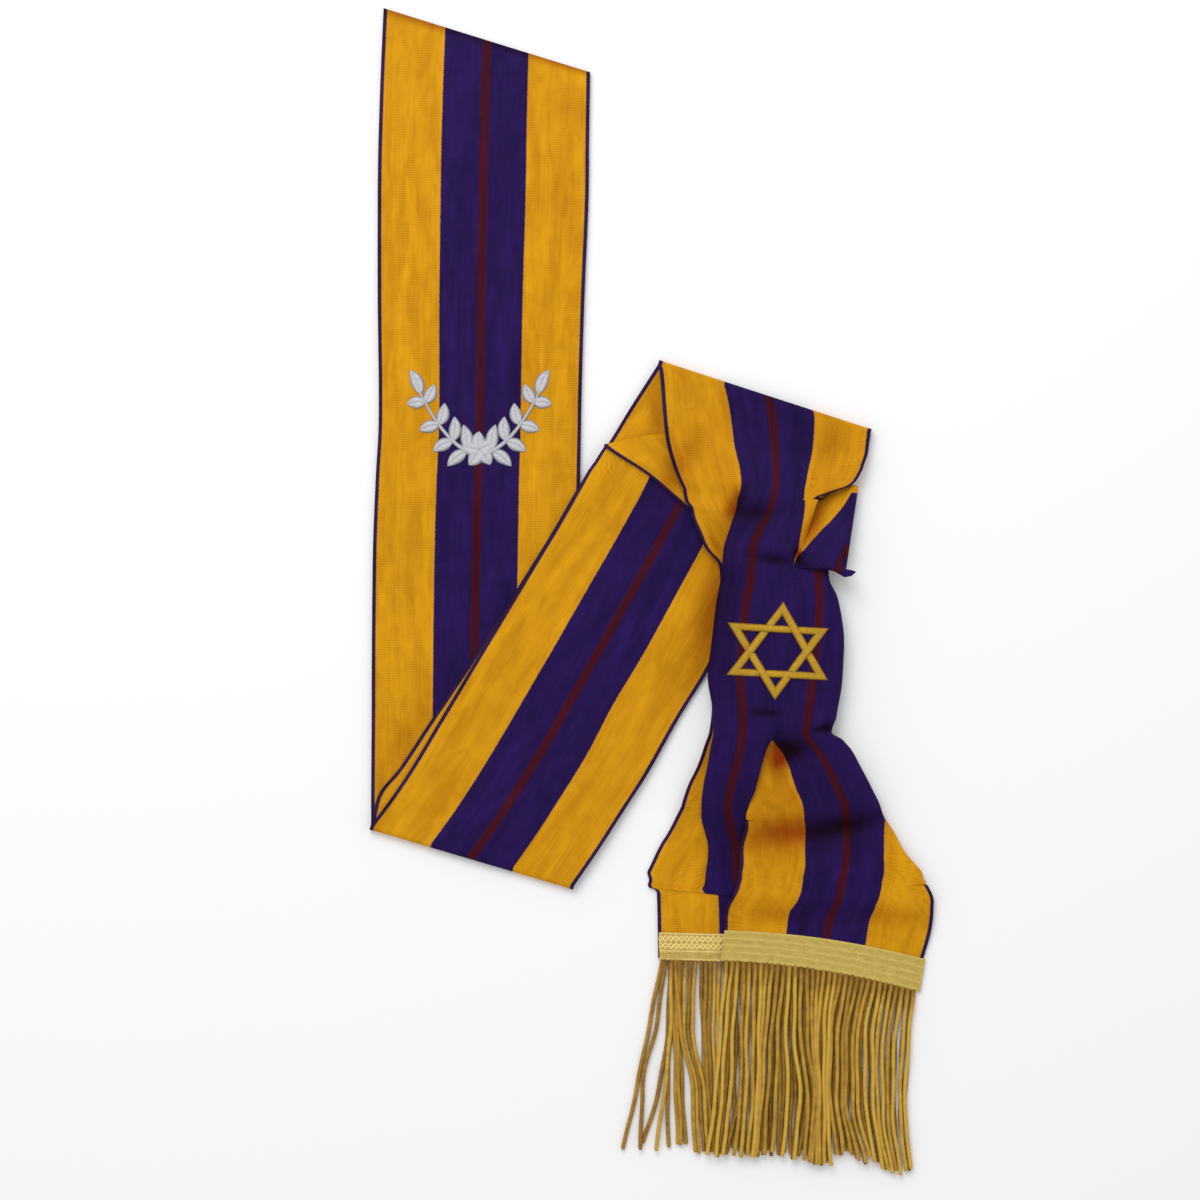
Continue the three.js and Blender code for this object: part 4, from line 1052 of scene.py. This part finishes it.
# darkest and lightest: random tone of each cord; the lower layer is kept darker as painted shade under
# the upper one
rightLayers = table("layer first spread head darkest lightest", [
    (3, 38.2, 1.6, -1.5, 0, 0.35), (4.5, 36.5, 0.9, -0.65, 0.45, 1),
])
leftCords = table("head third twoThirds foot footY lift", [
    (5.6, -0.7, -6.8, -13.6, -271, 0), (7, 2.7, -4.2, -5.1, -271, 0.6),
    (9.2, 8.3, 4.4, -3.9, -268, 0), (9.8, 9.4, 6.6, 2.2, -271.5, 1.3),
    (10.9, 10, 8, 8.4, -270, 0.2), (12.6, 11.4, 11.9, 12.9, -268.5, 0),
    (11.6, 13.9, 19.8, 21.2, -272, 1.7), (14.6, 13.4, 14.9, 16.6, -268.5, 0),
    (16.9, 15.6, 21.6, 22.9, -273, 0.5), (19.3, 18, 23.4, 25.4, -272, 0),
    (21.6, 19.9, 25.4, 27.6, -272.5, 1.2), (24.2, 24.9, 26.6, 29.6, -272, 0.3),
    (13.6, 12.6, 13.3, 14.6, -268.8, 1), (26.5, 26.1, 27.6, 30.6, -271.5, 1.4),
    (28.8, 27.9, 29, 32, -274, 0.6), (31, 30.2, 31, 33.4, -273, 0),
    (33.4, 32.4, 32.8, 35, -272.4, 1.1),
])
rightWaves = table("head third twoThirds foot", [
    (36.5, 33.6, 31.2, 26.8), (50.2, 49.3, 49, 46), (60.4, 57, 55, 53.4),
    (73.4, 73.8, 77.5, 75), (87.3, 84, 83.8, 84.8), (100.3, 95.5, 95.2, 101),
    (113.3, 108.9, 109.4, 114), (127.4, 124.4, 123, 125.2),
])
rightFeet = table("x y", [
    (20.4, -272.8), (45, -273.6), (60.7, -272.8), (67.5, -275.5), (71.4, -273.2), (77, -276.6),
    (86, -278.2), (94.2, -270), (98.5, -273.7), (103, -279), (105.2, -273), (109, -276.5),
    (113.4, -279.8), (121.3, -282), (125.5, -281),
])


def cordPath(headX, headY, headZ, thirdX, twoThirdsX, footX, footY, layer, phase):
    marks = [0, 1 / 3, 2 / 3, 1]
    sideways = smoothLine(marks, [headX, thirdX, twoThirdsX, footX])
    count = round((headY - footY) / cord["step"])
    path = []
    for step in range(count + 1):
        share = step / count
        waver = cord["waver"] * math.sin(share * cord["waverTurn"] + phase)
        x = sideways(share) + waver * min(1.0, share / cord["waverFull"])
        y = headY + (footY - headY) * share
        sinking = smoothStep(*cord["pastLeft"], x) if layer > cord["floorLayer"] else 0
        rest = layer - cord["drop"] * sinking
        fall = smoothStep(0, cord["settle"], headY - y)
        bob = cord["bob"] * math.sin(share * cord["bobTurn"] + phase * 2)
        z = headZ + (rest - headZ) * fall + bob
        path.append(Vector((x, y, max(z, cord["radius"] + cord["clear"]))))
    return path


def cordMesh(name, paths, shades):
    points, faces, places, tones = [], [], [], []
    ring = cord["ring"]
    for path, shade in zip(paths, shades):
        start = len(points)
        twist = random.uniform(0, 2 * math.pi)
        walked = 0.0
        for index, spot in enumerate(path):
            ahead = path[min(index + 1, len(path) - 1)] - path[max(index - 1, 0)]
            side = ahead.cross(faceUp).normalized()
            over = side.cross(ahead).normalized()
            walked += (spot - path[index - 1]).length if index else 0
            # painted shade on each cord near its head, under the braid
            lit = cord["headShade"] + (1 - cord["headShade"]) * smoothStep(0, cord["shaded"], walked)
            tones += [shade * lit] * ring
            left = (len(path) - index) * cord["step"]
            girth = min(1.0, cord["tipShare"] + (1 - cord["tipShare"]) * left / cord["tip"])
            for corner in range(ring):
                angle = corner * 2 * math.pi / ring
                lobes = math.cos(2 * angle - 2 * math.pi * walked / cord["lay"] + twist)
                reach = cord["radius"] * girth * (1 - cord["lobe"] + cord["lobe"] * lobes)
                points.append(spot + side * (reach * math.cos(angle)) + over * (reach * math.sin(angle)))
                places.append((corner / ring, walked))
        faces += stripFaces(len(path), ring, True, start)
        faces.append(tuple(range(start, start + ring)))
        faces.append(tuple(reversed(range(len(points) - ring, len(points)))))
    return outward(meshPiece(name, points, faces, places, "cord", tones))


def leftFringePiece():
    row = {**leftBand[1], "y": leftBand[1]["y"] + cord["underLeft"]}
    given = [list(entry.values()) for entry in leftCords]
    place = leftCords[-1]["head"] + cord["hiddenStart"] * cord["pitch"]
    lean, farLean = cord["hiddenLean"]
    while place < cord["leftEnd"]:  # these lie under the right tail
        footY = cord["hiddenFoot"] + random.uniform(-cord["hiddenSpread"], cord["hiddenSpread"])
        given.append([place, place, place - lean, place - farLean, footY, 0])
        place += cord["pitch"]
    paths = []
    for headX, thirdX, twoThirdsX, footX, footY, lift in given:
        spot = bandPoint(row, headX - row["x"])
        height = cord["floorLayer"] + cord["leftHead"]
        phase = random.uniform(0, cord["phases"])
        layer = cord["floorLayer"] + lift
        paths.append(cordPath(headX, spot.y, height, thirdX, twoThirdsX, footX, footY, layer, phase))
    return cordMesh("leftFringe", paths, [random.uniform(*cord["leftShades"]) for _ in paths])


def rightFringePiece():
    row = {**rightBand[1], "y": rightBand[1]["y"] + cord["underRight"]}
    heads = [entry["head"] for entry in rightWaves]
    third, twoThirds, foot = (
        smoothLine(heads, [entry[name] for entry in rightWaves])
        for name in ("third", "twoThirds", "foot"))
    feet = smoothLine([entry["x"] for entry in rightFeet], [entry["y"] for entry in rightFeet])
    paths, shades = [], []
    for cords in rightLayers:
        headX, spread = cords["first"], cords["spread"]
        while headX < cord["rightEnd"]:
            spot = bandPoint(row, (headX - row["x"]) / (row["stretch"] * towards(row["lean"]).x))
            sway = random.uniform(-spread, spread)
            footX = foot(headX) + random.uniform(-spread, spread)
            thirdX, twoThirdsX = third(headX) + sway, twoThirds(headX) + sway
            footY = feet(footX) + random.uniform(-cord["footSpread"], cord["footSpread"])
            ends = (spot.x, spot.y, spot.z + cords["head"], thirdX, twoThirdsX, footX, footY)
            paths.append(cordPath(*ends, cords["layer"], random.uniform(0, cord["phases"])))
            shades.append(random.uniform(cords["darkest"], cords["lightest"]))
            headX += cord["pitch"]
    return cordMesh("rightFringe", paths, shades)


def cordMaterial():
    made, tree, shader = newMaterial("goldCord", cord["colour"], cord["roughness"], cord["gloss"])
    around, along = mapParts(tree, "cord")
    laid = times(tree, along, cord["turnsPerMm"])
    strands = ridges(tree, calc(tree, "SUBTRACT", times(tree, around, cord["strands"]), laid), 1)
    uneven = noise(tree, node(tree, "TexCoord").outputs["Object"], *cord["noise"])
    # painted shade from the tone attribute, random tone from the noise, and strand crests slightly
    # lighter as painted highlight
    tone = fit(tree, ownValue(tree, "tone"), cord["toneShare"], times(tree, uneven, cord["noiseShare"]))
    tone = fit(tree, strands, cord["strandShare"], tone)
    tree.links.new(ramp(tree, tone, cord["stops"]), shader.inputs["Base Color"])
    bumped(tree, shader, strands, *cord["relief"])
    return made


goldCord = cordMaterial()
leftFringe = leftFringePiece()
rightFringe = rightFringePiece()
finished(leftFringe, goldCord, "left_fringe")
finished(rightFringe, goldCord, "right_fringe")
print("fringes twisted")


# Floor, lights and camera

studio = {
    "floorSize": 6.0, "floorColour": (0.93, 0.93, 0.94), "floorRoughness": 0.9,
    "grain": (900.0, 2.0), "grainRelief": (0.05, 0.0002),
    "world": 0.72, "keyPower": 13.0, "keySize": 1.0, "keyPlace": (-0.35, 0.95, 1.25),
    "aim": (0.0, -0.02, 0.0), "lens": 85.0, "sensor": 36, "eye": (-0.0248, -0.0047, 1.375),
}


def setStudio():
    bpy.ops.mesh.primitive_plane_add(size=studio["floorSize"])
    floor = bpy.context.object
    floor.name = "floor"
    paper, tree, shader = newMaterial("paper", studio["floorColour"], studio["floorRoughness"])
    grain = noise(tree, node(tree, "TexCoord").outputs["Object"], *studio["grain"])
    bumped(tree, shader, grain, *studio["grainRelief"])
    floor.data.materials.append(paper)
    world = bpy.data.worlds.new("softbox")
    world.use_nodes = True
    world.node_tree.nodes["Background"].inputs[0].default_value = (1, 1, 1, 1)
    world.node_tree.nodes["Background"].inputs[1].default_value = studio["world"]
    bpy.context.scene.world = world
    bpy.ops.object.light_add(type="AREA", location=studio["keyPlace"])
    key = bpy.context.object
    key.name = "key"
    key.data.size = studio["keySize"]
    key.data.energy = studio["keyPower"]
    way = Vector(studio["aim"]) - Vector(studio["keyPlace"])
    key.rotation_euler = way.to_track_quat("-Z", "Y").to_euler()
    bpy.ops.object.camera_add(location=studio["eye"], rotation=(0, 0, 0))
    camera = bpy.context.object
    camera.data.lens = studio["lens"]
    camera.data.sensor_width = studio["sensor"]
    camera.data.clip_start = 0.01
    bpy.context.scene.camera = camera
    bpy.context.scene.view_settings.view_transform = "Standard"


setStudio()
print("studio set")

print("sash done")
